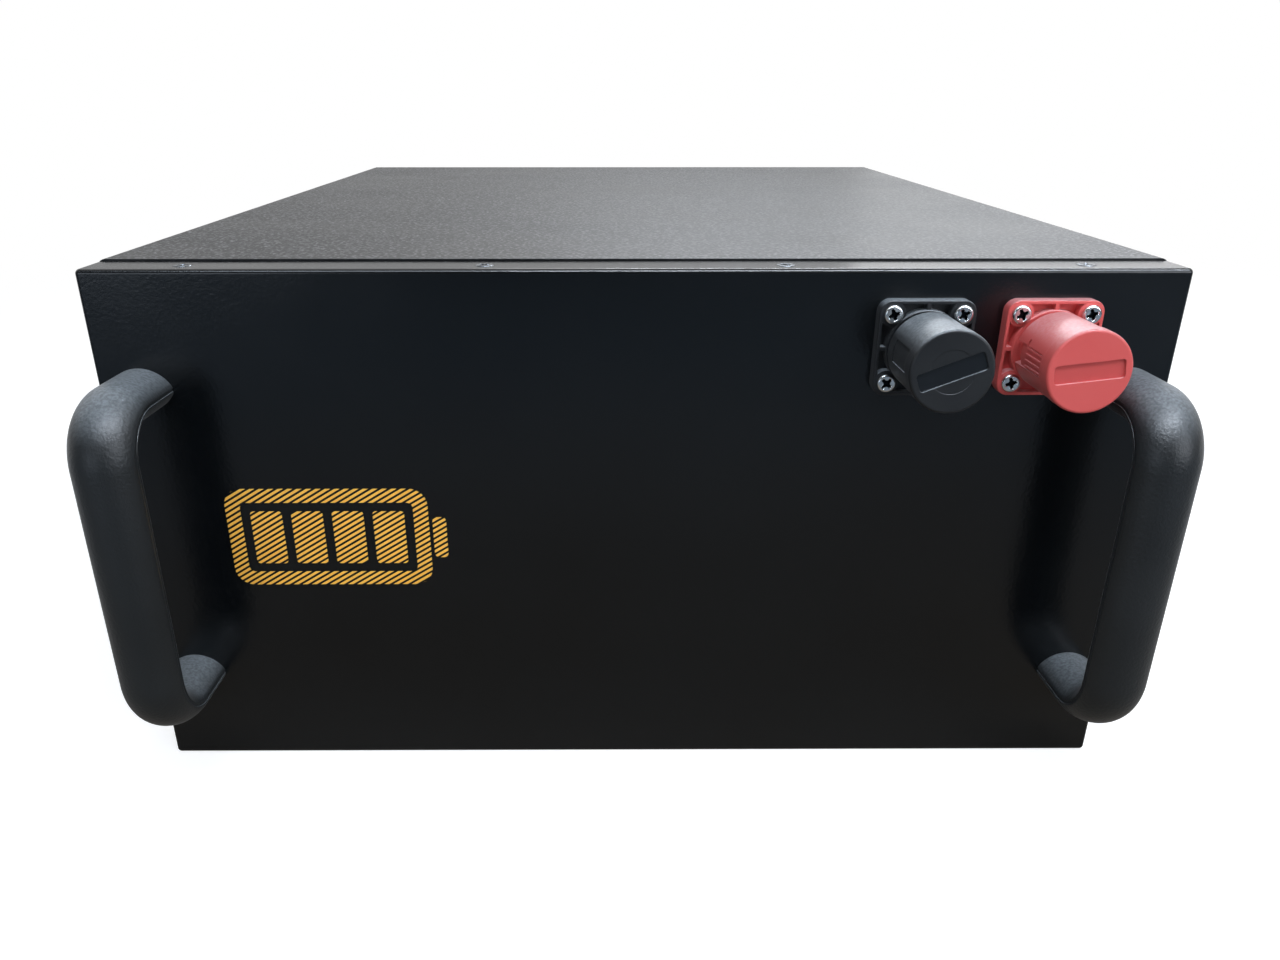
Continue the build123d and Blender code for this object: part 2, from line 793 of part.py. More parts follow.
separator_ys = [y - cell_t / 2 - separator_t / 2 for y in cell_ys] + [cells_rear_y + separator_t / 2]
with BuildPart() as cell_separators:
    with BuildSketch(Plane.XY.offset(cell_low_z)):
        for side in (-1, 1):
            with Locations(*[(side * row_x, y) for y in separator_ys]):
                Rectangle(cell_w, separator_t)
        with Locations((0, (cells_front_y + cells_rear_y) / 2)):
            Rectangle(row_gap - 2 * lap_gap, cells_rear_y - cells_front_y)
    extrude(amount=cell_h)
save(cell_separators.part, "cell_separators")


def make_end_plate(y):
    """Aluminium plate across both rows, standing on the base pan."""
    with BuildPart() as plate:
        with BuildSketch(Plane.XY.offset(sheet)):
            with Locations((0, y + end_plate_t / 2)):
                Rectangle(pack_w, end_plate_t)
        extrude(amount=end_plate_h)
    return plate.part


save(make_end_plate(front_plate_y), "front_end_plate")
save(make_end_plate(rear_plate_y), "rear_end_plate")

with BuildPart() as tie_bars:
    for z in tie_bar_z:
        with BuildSketch(Plane.XY.offset(z)):
            for side in (-1, 1):
                middle_y = (front_plate_y + pack_rear_y) / 2
                with Locations((side * (pack_w + tie_bar_t) / 2, middle_y)):
                    Rectangle(tie_bar_t, pack_rear_y - front_plate_y)
        extrude(amount=tie_bar_h)
save(tie_bars.part, "tie_bars")

# ---- Busbars: neighbours in each row in series, and one bar across at the rear ----
inner_post_x = row_x - post_offset
outer_post_x = row_x + post_offset
bar_length = cell_pitch + busbar_w
hole_places = []
with BuildPart() as busbars:
    with BuildSketch(Plane.XY.offset(post_top_z)):
        for side in (-1, 1):
            for i in range(cells_per_row - 1):
                bar_x = side * (outer_post_x if i % 2 == 0 else inner_post_x)
                with Locations((bar_x, (cell_ys[i] + cell_ys[i + 1]) / 2)):
                    RectangleRounded(busbar_w, bar_length, busbar_w / 4)
                hole_places += [(bar_x, cell_ys[i]), (bar_x, cell_ys[i + 1])]
        with Locations((0, cell_ys[-1])):
            RectangleRounded(2 * inner_post_x + busbar_w, busbar_w, busbar_w / 4)
        hole_places += [(-inner_post_x, cell_ys[-1]), (inner_post_x, cell_ys[-1])]
        with Locations(*hole_places):
            Circle(post_stud_r + hole_gap, mode=Mode.SUBTRACT)
    extrude(amount=busbar_t)
save(busbars.part, "busbars")

bar_nut = hexagon_nut(busbar_nut_af, busbar_nut_h, post_stud_r + thread_gap)
main_posts = [(-inner_post_x, cell_ys[0]), (inner_post_x, cell_ys[0])]
bar_nut_places = [Plane(origin=(x, y, post_top_z + busbar_t)) for x, y in hole_places]
lug_nut_places = [Plane(origin=(x, y, post_top_z + lug_palm_t)) for x, y in main_posts]
save(place_copies(bar_nut, bar_nut_places + lug_nut_places), "busbar_nuts")

# ---- Management board: bracket on the front end plate, heat sink, board, tabs and screws ----
bracket_y = front_plate_y - bracket_t
sink_y = bracket_y - heat_sink_t
board_y = sink_y - board_stand - board_t
board_w = bracket_w - 2 * board_margin
board_h = bracket_h - 2 * board_margin
board_corners = [
    (board_x + sx * (board_w / 2 - board_screw_inset), board_z + sz * (board_h / 2 - board_screw_inset))
    for sx in (-1, 1)
    for sz in (-1, 1)
]
cell_tab = (-inner_post_x, board_z + board_h / 2 - tab_inset)
output_tab = (board_x + board_w / 2 - tab_inset, board_z - board_h / 2 + tab_rise)
connector_z = board_z + board_h / 2 - connector_drop - connector_h / 2

with BuildPart() as bms_bracket:
    with BuildSketch(Plane.XZ.offset(-bracket_y - bracket_t)):
        with Locations((board_x, board_z)):
            Rectangle(bracket_w, bracket_h)
    extrude(amount=bracket_t)
    with BuildSketch(Plane.XZ.offset(-bracket_y)):
        with Locations((board_x, board_z - bracket_h / 2 + bracket_t / 2)):
            Rectangle(bracket_w, bracket_t)
    extrude(amount=bracket_foot)
save(bms_bracket.part, "bms_bracket")

fin_pitch = (board_w - fin_t) / (fin_count - 1)
with BuildPart() as bms_heat_sink:
    with BuildSketch(Plane.XZ.offset(-sink_y)):
        with Locations((board_x, board_z)):
            Rectangle(board_w, board_h)
    extrude(amount=-(heat_sink_t - fin_depth))
    with BuildSketch(Plane.XZ.offset(-bracket_y)):
        with Locations((board_x, board_z)):
            with GridLocations(fin_pitch, 0, fin_count, 1):
                Rectangle(fin_t, board_h)
    extrude(amount=fin_depth)
    with BuildSketch(Plane.XZ.offset(-sink_y)):
        with Locations(*board_corners):
            Circle(board_head_r)
    extrude(amount=board_stand)
    with BuildSketch(Plane.XZ.offset(-sink_y + board_stand)):
        with Locations(*board_corners):
            Circle(board_screw_r + thread_gap)
    extrude(amount=-(board_stand + heat_sink_t), mode=Mode.SUBTRACT)
save(bms_heat_sink.part, "bms_heat_sink")

with BuildPart() as bms_board:
    with BuildSketch(Plane.XZ.offset(-board_y)):
        with Locations((board_x, board_z)):
            Rectangle(board_w, board_h)
        with Locations(*board_corners):
            Circle(board_screw_r + hole_gap, mode=Mode.SUBTRACT)
    extrude(amount=-board_t)
    with BuildSketch(Plane.XZ.offset(-board_y)):
        with Locations((connector_x, connector_z)):
            Rectangle(connector_w, connector_h)
    extrude(amount=connector_t)
save(bms_board.part, "bms_board")

with BuildPart() as bms_tabs:
    with BuildSketch(Plane.XZ.offset(-board_y)):
        with Locations(cell_tab, output_tab):
            Rectangle(tab_w, tab_w)
            Circle(post_stud_r + thread_gap, mode=Mode.SUBTRACT)
    extrude(amount=tab_t)
save(bms_tabs.part, "bms_tabs")

tab_plane = Plane.XZ.offset(-board_y + tab_t + lug_palm_t)
with BuildPart() as bms_screws:
    with BuildSketch(Plane.XZ.offset(-board_y)):
        with Locations(*board_corners):
            Circle(board_head_r)
    extrude(amount=board_head_h)
    with BuildSketch(Plane.XZ.offset(-board_y)):
        with Locations(*board_corners):
            Circle(board_screw_r)
    extrude(amount=-(board_t + board_stand + heat_sink_t - fin_depth))
    with BuildSketch(tab_plane):
        with Locations(cell_tab, output_tab):
            Circle(handle_head_r)
    extrude(amount=handle_head_h)
    with BuildSketch(tab_plane):
        with Locations(cell_tab, output_tab):
            Circle(post_stud_r)
    extrude(amount=-(lug_palm_t + tab_t - hole_gap))
save(bms_screws.part, "bms_screws")

# ---- Cable lugs: a drilled palm and a crimped barrel ----
lug_axis_h = cable_r + lug_wall
lug_start = lug_neck + lug_seat


def make_lug(hole_r):
    """Lug whose palm lies on its plane, its bolt hole at the origin and its barrel along X."""
    with BuildPart() as lug:
        with BuildSketch():
            with Locations((lug_neck / 2 - lug_palm_reach / 2, 0)):
                Rectangle(lug_neck + lug_palm_reach, lug_palm_w)
            Circle(hole_r, mode=Mode.SUBTRACT)
        extrude(amount=lug_palm_t)
        with BuildSketch(Plane.YZ.offset(lug_neck - lug_overlap)):
            with Locations((0, lug_axis_h)):
                Circle(lug_axis_h)
        extrude(amount=lug_barrel_l)
        with BuildSketch(Plane.YZ.offset(lug_start)):
            with Locations((0, lug_axis_h)):
                Circle(cable_r)
        extrude(amount=lug_barrel_l, mode=Mode.SUBTRACT)
    return lug.part


post_lugs = [Plane(origin=(x, y, post_top_z), x_dir=(0, -1, 0), z_dir=(0, 0, 1)) for x, y in main_posts]
stud_lugs = [
    Plane(origin=(x, stud_lug_y, terminal_z), x_dir=(0, 0, -1), z_dir=(0, 1, 0)) for x in terminal_xs
]
tab_face_y = board_y - tab_t
cell_tab_lug = Plane(origin=(cell_tab[0], tab_face_y, cell_tab[1]), x_dir=(0, 0, 1), z_dir=(0, -1, 0))
output_tab_lug = Plane(origin=(output_tab[0], tab_face_y, output_tab[1]), x_dir=(1, 0, 0), z_dir=(0, -1, 0))
post_lug = make_lug(post_stud_r + hole_gap)
stud_lug = make_lug(stud_r + hole_gap)
with BuildPart() as cable_lugs:
    with Locations(*post_lugs, cell_tab_lug, output_tab_lug):
        add(post_lug)
    with Locations(*stud_lugs):
        add(stud_lug)
save(cable_lugs.part, "cable_lugs")


# ---- Cables ----
def lug_mouth(plane):
    """Point inside a lug's barrel where its cable starts."""
    return plane.from_local_coords((lug_start, 0, lug_axis_h))


def corner_radii(points, largest):
    """Bend radius at each inner corner: as large as the two runs beside it allow."""
    radii = []
    for before, corner, after in zip(points, points[1:], points[2:]):
        run_in = Vector(*corner) - Vector(*before)
        run_out = Vector(*after) - Vector(*corner)
        half_turn = math.radians(run_in.get_angle(run_out)) / 2
        shorter = min(run_in.length, run_out.length)
        radii.append(min(largest, 0.45 * shorter / math.tan(half_turn)))
    return radii


def make_cable(points, radius, largest_bend):
    """Round cable through the points, its corners eased."""
    points = [tuple(Vector(*point)) for point in points]
    with BuildPart() as cable:
        with BuildLine() as route:
            FilletPolyline(*points, radius=corner_radii(points, largest_bend))
        start = route.line @ 0
        with BuildSketch(Plane(origin=start, z_dir=route.line % 0)):
            Circle(radius)
        sweep(path=route.line)
    return cable.part


negative_post = lug_mouth(post_lugs[0])
positive_post = lug_mouth(post_lugs[1])
black_end = lug_mouth(stud_lugs[0])
red_end = lug_mouth(stud_lugs[1])
cell_tab_end = lug_mouth(cell_tab_lug)
output_tab_end = lug_mouth(output_tab_lug)
bay_y = (front_y + board_y) / 2
connector_top_z = connector_z + connector_h / 2

negative_cell_route = [
    negative_post,
    (negative_post.X, cell_tab_end.Y, negative_post.Z),
    cell_tab_end,
]
positive_route = [
    positive_post,
    (positive_post.X, bay_y + cable_r, positive_post.Z),
    (positive_post.X + 14, bay_y, positive_post.Z - 92),
    (positive_post.X + 55, bay_y - 2, cable_low_z),
    (red_end.X - 30, bay_y - 3, cable_low_z + 4),
    (red_end.X, red_end.Y + 2, red_end.Z - 71.3),
    (red_end.X, red_end.Y, red_end.Z - 31.3),
    red_end,
]
negative_terminal_route = [
    output_tab_end,
    (output_tab_end.X + 45, output_tab_end.Y, output_tab_end.Z),
    (black_end.X - 22, output_tab_end.Y - 9, output_tab_end.Z + 38),
    (black_end.X, black_end.Y + 9, black_end.Z - 49.4),
    (black_end.X, black_end.Y, black_end.Z - 28.4),
    black_end,
]
save(make_cable(negative_cell_route, cable_r, cable_bend_r), "negative_cell_cable")
save(make_cable(positive_route, cable_r, cable_bend_r), "positive_cable")
save(make_cable(negative_terminal_route, cable_r, cable_bend_r), "negative_terminal_cable")

harness_z = post_top_z + busbar_t + 2 * harness_r
connector_y = board_y - connector_t / 2
harness_route = [
    (0, cell_ys[-1], harness_z),
    (0, bracket_y - 8, harness_z),
    (-3, bracket_y - 9, connector_top_z + 37),
    (connector_x, bracket_y - 8, connector_top_z + 23),
    (connector_x, connector_y, connector_top_z + 12),
    (connector_x, connector_y, connector_top_z),
]
save(make_cable(harness_route, harness_r, harness_bend_r), "balance_harness")

# ---- Insulation sheet over the posts ----
with BuildPart() as insulation_sheet:
    with BuildSketch(Plane.XY.offset(post_top_z + post_stud_h + insulation_gap)):
        with Locations((0, (front_plate_y + pack_rear_y) / 2)):
            Rectangle(pack_w, pack_rear_y - front_plate_y)
    extrude(amount=insulation_t)
save(insulation_sheet.part, "insulation_sheet")
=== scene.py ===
"""Looks of the battery box: finishes, screws, handles, the printed level mark, studio and camera."""
import json
import logging
import math
from dataclasses import dataclass, field
from enum import Enum
from typing import Any, Mapping, Sequence, Union

import bmesh
import bpy
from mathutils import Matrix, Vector

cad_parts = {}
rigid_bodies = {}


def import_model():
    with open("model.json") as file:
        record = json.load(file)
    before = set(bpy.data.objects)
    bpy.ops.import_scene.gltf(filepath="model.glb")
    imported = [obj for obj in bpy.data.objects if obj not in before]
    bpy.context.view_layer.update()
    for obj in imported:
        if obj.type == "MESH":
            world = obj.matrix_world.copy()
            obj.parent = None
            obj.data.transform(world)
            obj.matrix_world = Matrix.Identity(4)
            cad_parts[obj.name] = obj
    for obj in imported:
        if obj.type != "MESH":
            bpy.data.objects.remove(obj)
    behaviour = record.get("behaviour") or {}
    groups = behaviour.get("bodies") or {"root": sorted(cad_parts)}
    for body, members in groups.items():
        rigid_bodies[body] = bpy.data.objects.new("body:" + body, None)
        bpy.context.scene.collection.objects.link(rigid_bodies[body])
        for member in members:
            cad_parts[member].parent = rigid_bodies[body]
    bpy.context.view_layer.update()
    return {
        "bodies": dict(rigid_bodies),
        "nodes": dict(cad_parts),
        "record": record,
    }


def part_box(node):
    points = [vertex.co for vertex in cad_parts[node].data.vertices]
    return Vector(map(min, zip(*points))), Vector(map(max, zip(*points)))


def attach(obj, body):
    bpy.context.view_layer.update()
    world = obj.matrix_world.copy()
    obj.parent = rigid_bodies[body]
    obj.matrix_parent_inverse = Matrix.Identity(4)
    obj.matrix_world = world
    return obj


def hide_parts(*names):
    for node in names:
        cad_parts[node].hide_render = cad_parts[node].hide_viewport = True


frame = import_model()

log = logging.getLogger("battery_box")

MM = 0.001

# Steps of detail in a surface's slow drift and in its fine grain.
DRIFT_DETAIL = 3.0
GRAIN_DETAIL = 2.0
# Levels between which nearly all of a noise pattern lies.
NOISE_LEVELS = (0.3, 0.7)
# Rays that feel for a sharp edge.
EDGE_SAMPLES = 4
WHITE = (1.0, 1.0, 1.0, 1.0)
# Distance at which two points of a mesh count as one, m.
WELD = 0.001 * MM

Tree = bpy.types.NodeTree
Node = bpy.types.Node
Socket = bpy.types.NodeSocket
Thing = bpy.types.Object
Input = Union[Node, Socket, float, int, bool, tuple, bpy.types.Material]
# A screw's point on the surface, its outward axis and its own turn in degrees.
Place = tuple[Vector, Vector, float]
# Attributes of the screws' meshes: how deep the cross is at a point of a head, from 0 to 1, and the axis
# and the turn of the screw that grows on a point.
# The cross's depth also sets how much painted shade the cross gets.
RECESS = "recess"
AXIS = "axis"
TURN = "turn"


def linear(code: str) -> tuple[float, float, float, float]:
    """Turn an sRGB hex colour into linear light.

    Args:
        code: Colour such as "#1a2b3c".

    Returns:
        Red, green, blue and an alpha of 1.
    """
    parts = [int(code[i : i + 2], 16) / 255 for i in (1, 3, 5)]
    light = [part / 12.92 if part <= 0.04045 else ((part + 0.055) / 1.055) ** 2.4 for part in parts]
    return (light[0], light[1], light[2], 1.0)


def add(
    tree: Tree, kind: str, inputs: Mapping[Union[str, int], Input] | None = None, **settings: Any
) -> Node:
    """Add a node with its settings and its inputs.

    Args:
        tree: Tree that gets the node.
        kind: Type name of the node.
        inputs: Value, socket or node for each input; a node gives its first output.
        settings: Properties of the node.

    Returns:
        The new node.
    """
    node = tree.nodes.new(kind)
    for name, value in settings.items():
        setattr(node, name, value)
    for key, value in (inputs or {}).items():
        source = value.outputs[0] if isinstance(value, bpy.types.Node) else value
        if isinstance(source, bpy.types.NodeSocket):
            tree.links.new(source, node.inputs[key])
        else:
            node.inputs[key].default_value = source
    return node


def empty_tree(owner: Union[bpy.types.Material, bpy.types.World]) -> Tree:
    """Give a material or a world an empty node tree.

    Args:
        owner: Material or world.

    Returns:
        Its tree.
    """
    owner.use_nodes = True
    owner.node_tree.nodes.clear()
    return owner.node_tree


def new_object(name: str, data: Any) -> Thing:
    """Put a new object in the scene, at the origin.

    Args:
        name: Object name.
        data: Its mesh, lamp or camera.

    Returns:
        The new object.
    """
    thing = bpy.data.objects.new(name, data)
    bpy.context.scene.collection.objects.link(thing)
    return thing


# ---------------------------------------------------------------- finishes


def scale_of(size_mm: float) -> float:
    """Return the texture scale at which a pattern has this size."""
    return 1 / (size_mm * MM)


@dataclass(frozen=True)
class Finish:
    """A real material and how its surface was made.

    Attributes:
        name: Material name.
        colour: Main colour, sRGB hex.
        shade: Second colour that the surface drifts to, sRGB hex.
        rough: Mean roughness.
        rough_drift: How far the roughness drifts either way.
        drift_mm: Size of the patches of drift.
        edge_mm: Radius that the light sees on sharp edges, or 0.
        mirror: Specular level straight on.
        bloom: Pale light that the fine texture scatters where it is seen flat.
        bloom_rough: How widely that light is scattered.
    """

    name: str
    colour: str
    shade: str
    rough: float = 0.45
    rough_drift: float = 0.05
    drift_mm: float = 60.0
    edge_mm: float = 0.0
    mirror: float = 0.5
    bloom: float = 0.0
    bloom_rough: float = 0.4

    def material(self) -> bpy.types.Material:
        """Make the material of this finish on its first use.

        Returns:
            The material that every piece of this finish shares.
        """
        known = bpy.data.materials.get(self.name)
        if known is not None:
            return known
        made = bpy.data.materials.new(self.name)
        tree = empty_tree(made)
        place = add(tree, "ShaderNodeTexCoord").outputs["Object"]
        wander = {"Vector": place, "Scale": scale_of(self.drift_mm), "Detail": DRIFT_DETAIL}
        drift = add(tree, "ShaderNodeTexNoise", wander).outputs["Fac"]
        tones = {0: drift, 6: linear(self.colour), 7: linear(self.shade)}
        colour = add(tree, "ShaderNodeMix", tones, data_type="RGBA")
        rough = add(
            tree,
            "ShaderNodeMapRange",
            {
                "Value": drift,
                "From Min": NOISE_LEVELS[0],
                "From Max": NOISE_LEVELS[1],
                "To Min": self.rough - self.rough_drift,
                "To Max": self.rough + self.rough_drift,
            },
        )
        shader = add(
            tree,
            "ShaderNodeBsdfPrincipled",
            {
                "Base Color": colour.outputs[2],
                "Roughness": rough,
                "Specular IOR Level": self.mirror,
                "Sheen Weight": self.bloom,
                "Sheen Roughness": self.bloom_rough,
            },
        )
        self.wire(tree, place, shader)
        add(tree, "ShaderNodeOutputMaterial", {"Surface": shader})
        return made

    def wire(self, tree: Tree, place: Socket, shader: Node) -> None:
        """Add what this kind of surface has of its own.

        Args:
            tree: Material's tree.
            place: Object coordinates.
            shader: Surface shader.
        """
        self.relief(tree, shader, None, 0.0)

    def relief(self, tree: Tree, shader: Node, height: Node | None, depth_mm: float) -> None:
        """Bend the light by a height pattern, over edges that look rounded.

        Args:
            tree: Material's tree.
            shader: Surface shader.
            height: Node whose first output is the height, or None.
            depth_mm: Height of the pattern.
        """
        base = None
        if self.edge_mm > 0:
            base = add(tree, "ShaderNodeBevel", {"Radius": self.edge_mm * MM}, samples=EDGE_SAMPLES)
        if height is not None:
            bump = add(tree, "ShaderNodeBump", {"Distance": depth_mm * MM, "Strength": 1.0, "Height": height})
            if base is not None:
                tree.links.new(base.outputs[0], bump.inputs["Normal"])
            base = bump
        if base is not None:
            tree.links.new(base.outputs[0], shader.inputs["Normal"])

    def tint(self, tree: Tree, shader: Node, share: Input, colour: Input) -> None:
        """Turn the surface's colour to another one, by a share that runs from 0 to 1.

        Args:
            tree: Material's tree.
            shader: Surface shader.
            share: How much of the other colour shows.
            colour: The other colour.
        """
        under = shader.inputs["Base Color"].links[0].from_socket
        mixed = add(tree, "ShaderNodeMix", {0: share, 6: under, 7: colour}, data_type="RGBA")
        tree.links.new(mixed.outputs[2], shader.inputs["Base Color"])


@dataclass(frozen=True)
class PowderCoat(Finish):
    """Epoxy-polyester powder, sprayed on steel and baked: a fine, even texture that glints at a low angle.

    Attributes:
        grain_mm: Size of the texture's grains.
        grain_depth_mm: Height of the grains.
        tip_gain: How much more pale light a grain's tip scatters than the surface does on the whole.
        tip_levels: Heights in the grain, from 0 to 1, where a tip begins and where it is at its palest.
    """

    grain_mm: float = 0.9
    grain_depth_mm: float = 0.02
    tip_gain: float = 8.0
    tip_levels: tuple[float, float] = (0.52, 0.64)

    def wire(self, tree: Tree, place: Socket, shader: Node) -> None:
        """Add the baked grain, whose tips scatter more light than its valleys.

        Args:
            tree: Material's tree.
            place: Object coordinates.
            shader: Surface shader.
        """
        bumps = {"Vector": place, "Scale": scale_of(self.grain_mm), "Detail": GRAIN_DETAIL}
        grain = add(tree, "ShaderNodeTexNoise", bumps)
        self.relief(tree, shader, grain, self.grain_depth_mm)
        tips = add(
            tree,
            "ShaderNodeMapRange",
            {
                "Value": grain.outputs["Fac"],
                "From Min": self.tip_levels[0],
                "From Max": self.tip_levels[1],
                "To Max": self.tip_gain * self.bloom,
            },
        )
        tree.links.new(tips.outputs[0], shader.inputs["Sheen Weight"])


@dataclass(frozen=True)
class MouldedPlastic(Finish):
    """Thermoplastic moulded in a spark-eroded tool: a dull, even grain and softly lit edges.

    Attributes:
        grain_mm: Size of the tool's grain.
        grain_depth_mm: Depth of the grain.
        painted_top_light: Share of painted light from above, pale and patchy, in the colour of what faces up.
        top_light_tone: Colour of that painted light, sRGB hex.
        top_light_tilt: How far up a face looks, as the height of its normal, before the painted light begins.
        top_light_patch_mm: Size of the painted light's thin and thick patches.
        top_light_levels: Levels of the patches' pattern at which they are thinnest and thickest.
        top_light_spread: Painted light on the thinnest and thickest patches, as shares of its mean.
        dust: Share of cells that hold a speck of dust.
        speck_tone: Colour of a speck, sRGB hex.
        speck_cell_mm: Size of those cells.
        speck_r: Radius of a speck, as a share of its cell.
        inlay_y: Depth of the front face whose sunk pads came from a polished insert, m, or None.
        pad_sunk_mm: Depth behind that face at which the pads lie.
        pad_room_mm: How far either way from there a face still counts as a pad.
        pad_front: How squarely a pad looks to the front, as the length of its normal that way.
        pad_rough: Roughness of a pad.
        pad_shade_value: Brightness of a pad's colour, as a share of the rest's: painted shade on the sunk
            pads.
    """

    grain_mm: float = 0.5
    grain_depth_mm: float = 0.012
    painted_top_light: float = 0.0
    top_light_tone: str = "#c3ccd2"
    top_light_tilt: float = 0.35
    top_light_patch_mm: float = 1.2
    top_light_levels: tuple[float, float] = (0.35, 0.65)
    top_light_spread: tuple[float, float] = (0.7, 1.3)
    dust: float = 0.0
    speck_tone: str = "#8f9396"
    speck_cell_mm: float = 7.0
    speck_r: float = 0.045
    inlay_y: float | None = None
    pad_sunk_mm: float = 0.9
    pad_room_mm: float = 0.5
    pad_front: float = 0.8
    pad_rough: float = 0.16
    pad_shade_value: float = 0.86

    def wire(self, tree: Tree, place: Socket, shader: Node) -> None:
        """Add the tool's grain, painted top light, polished pads in painted shade and specks that this piece
        has.

        Args:
            tree: Material's tree.
            place: Object coordinates.
            shader: Surface shader.
        """
        if self.painted_top_light > 0:
            self.paint_top_light(tree, place, shader)
        pits = {"Vector": place, "Scale": scale_of(self.grain_mm), "Detail": GRAIN_DETAIL}
        grain = add(tree, "ShaderNodeTexNoise", pits)
        self.relief(tree, shader, grain, self.grain_depth_mm)
        if self.inlay_y is not None:
            self.polish_pads(tree, place, shader)
        if self.dust > 0:
            self.drop_specks(tree, place, shader)

    def paint_top_light(self, tree: Tree, place: Socket, shader: Node) -> None:
        """Paint pale, patchy light from above into the colour of what faces up.

        Args:
            tree: Material's tree.
            place: Object coordinates.
            shader: Surface shader.
        """
        # Painted light from above: the colour of faces that look up is made paler, in patches.
        facing = add(tree, "ShaderNodeNewGeometry").outputs["Normal"]
        up = add(tree, "ShaderNodeSeparateXYZ", {"Vector": facing})
        level = add(
            tree,
            "ShaderNodeMapRange",
            {"Value": up.outputs["Z"], "From Min": self.top_light_tilt, "From Max": 1.0, "To Max": self.painted_top_light},
            interpolation_type="SMOOTHSTEP",
        )
        patchy = {"Vector": place, "Scale": scale_of(self.top_light_patch_mm), "Detail": GRAIN_DETAIL}
        patches = add(tree, "ShaderNodeTexNoise", patchy)
        spread = add(
            tree,
            "ShaderNodeMapRange",
            {
                "Value": patches.outputs["Fac"],
                "From Min": self.top_light_levels[0],
                "From Max": self.top_light_levels[1],
                "To Min": self.top_light_spread[0],
                "To Max": self.top_light_spread[1],
            },
        )
        share = add(tree, "ShaderNodeMath", {0: level, 1: spread}, operation="MULTIPLY")
        self.tint(tree, shader, share, linear(self.top_light_tone))

    def polish_pads(self, tree: Tree, place: Socket, shader: Node) -> None:
        """Smooth the pads that are sunk a little below the front face, and darken them with painted shade.

        Args:
            tree: Material's tree.
            place: Object coordinates.
            shader: Surface shader.
        """
        spot = add(tree, "ShaderNodeSeparateXYZ", {"Vector": place})
        pad_y = self.inlay_y + self.pad_sunk_mm * MM
        level = {0: spot.outputs["Y"], 1: pad_y, 2: self.pad_room_mm * MM}
        sunk = add(tree, "ShaderNodeMath", level, operation="COMPARE")
        normal = add(tree, "ShaderNodeTexCoord").outputs["Normal"]
        way = add(tree, "ShaderNodeSeparateXYZ", {"Vector": normal})
        front = add(tree, "ShaderNodeMath", {0: way.outputs["Y"], 1: -self.pad_front}, operation="LESS_THAN")
        pad = add(tree, "ShaderNodeMath", {0: sunk, 1: front}, operation="MULTIPLY")
        rough = shader.inputs["Roughness"].links[0].from_socket
        smooth = add(tree, "ShaderNodeMix", {0: pad, 2: rough, 3: self.pad_rough}, data_type="FLOAT")
        tree.links.new(smooth.outputs[0], shader.inputs["Roughness"])
        # Painted shade: the sunk pads are made darker in colour.
        under = shader.inputs["Base Color"].links[0].from_socket
        shaded_pad = add(tree, "ShaderNodeHueSaturation", {"Color": under, "Value": self.pad_shade_value})
        self.tint(tree, shader, pad, shaded_pad.outputs[0])

    def drop_specks(self, tree: Tree, place: Socket, shader: Node) -> None:
        """Drop a speck of dust in a few cells.

        Args:
            tree: Material's tree.
            place: Object coordinates.
            shader: Surface shader.
        """
        cells = add(tree, "ShaderNodeTexVoronoi", {"Vector": place, "Scale": scale_of(self.speck_cell_mm)})
        from_middle = cells.outputs["Distance"]
        near = add(tree, "ShaderNodeMath", {0: from_middle, 1: self.speck_r}, operation="LESS_THAN")
        pick = add(tree, "ShaderNodeSeparateColor", {"Color": cells.outputs["Color"]})
        chosen = add(tree, "ShaderNodeMath", {0: pick.outputs["Red"], 1: self.dust}, operation="LESS_THAN")
        speck = add(tree, "ShaderNodeMath", {0: near, 1: chosen}, operation="MULTIPLY")
        self.tint(tree, shader, speck, linear(self.speck_tone))


@dataclass(frozen=True)
class PlatedMetal(Finish):
    """Metal that is plated, rolled or turned: a clear glint with fine tool marks in one direction.

    Attributes:
        mark_mm: Spacing of the tool marks.
        mark_depth_mm: Depth of the tool marks.
        mark_run: Width of a mark, as a share of its length.
    """

    mark_mm: float = 0.35
    mark_depth_mm: float = 0.004
    mark_run: float = 0.15

    def wire(self, tree: Tree, place: Socket, shader: Node) -> None:
        """Add the tool marks.

        Args:
            tree: Material's tree.
            place: Object coordinates.
            shader: Surface shader.
        """
        shader.inputs["Metallic"].default_value = 1.0
        along = add(tree, "ShaderNodeMapping", {"Vector": place, "Scale": (1.0, 1.0, self.mark_run)})
        lines = {"Vector": along, "Scale": scale_of(self.mark_mm), "Detail": GRAIN_DETAIL}
        marks = add(tree, "ShaderNodeTexNoise", lines)
        self.relief(tree, shader, marks, self.mark_depth_mm)


@dataclass(frozen=True)
class ScrewMetal(PlatedMetal):
    """Cold-headed screw steel, plated: bright on its rim, with painted shade darkening the cross.

    Attributes:
        recess: Colour of the painted shade in the depth of the cross, sRGB hex.
        recess_shade_levels: Depths in the cross, from 0 to 1, between which the metal turns to that painted
            shade.
    """

    recess: str = "#14171a"
    recess_shade_levels: tuple[float, float] = (0.25, 0.75)

    def wire(self, tree: Tree, place: Socket, shader: Node) -> None:
        """Add the tool marks, and paint shade into the cross by the depth that the head's mesh carries.

        Args:
            tree: Material's tree.
            place: Object coordinates.
            shader: Surface shader.
        """
        super().wire(tree, place, shader)
        # Painted shade in the cross: darker where the cross is deeper.
        depth = add(tree, "ShaderNodeAttribute", attribute_name=RECESS)
        low, high = self.recess_shade_levels
        shade = add(
            tree,
            "ShaderNodeMapRange",
            {"Value": depth.outputs["Fac"], "From Min": low, "From Max": high},
            interpolation_type="SMOOTHSTEP",
        )
        self.tint(tree, shader, shade, linear(self.recess))


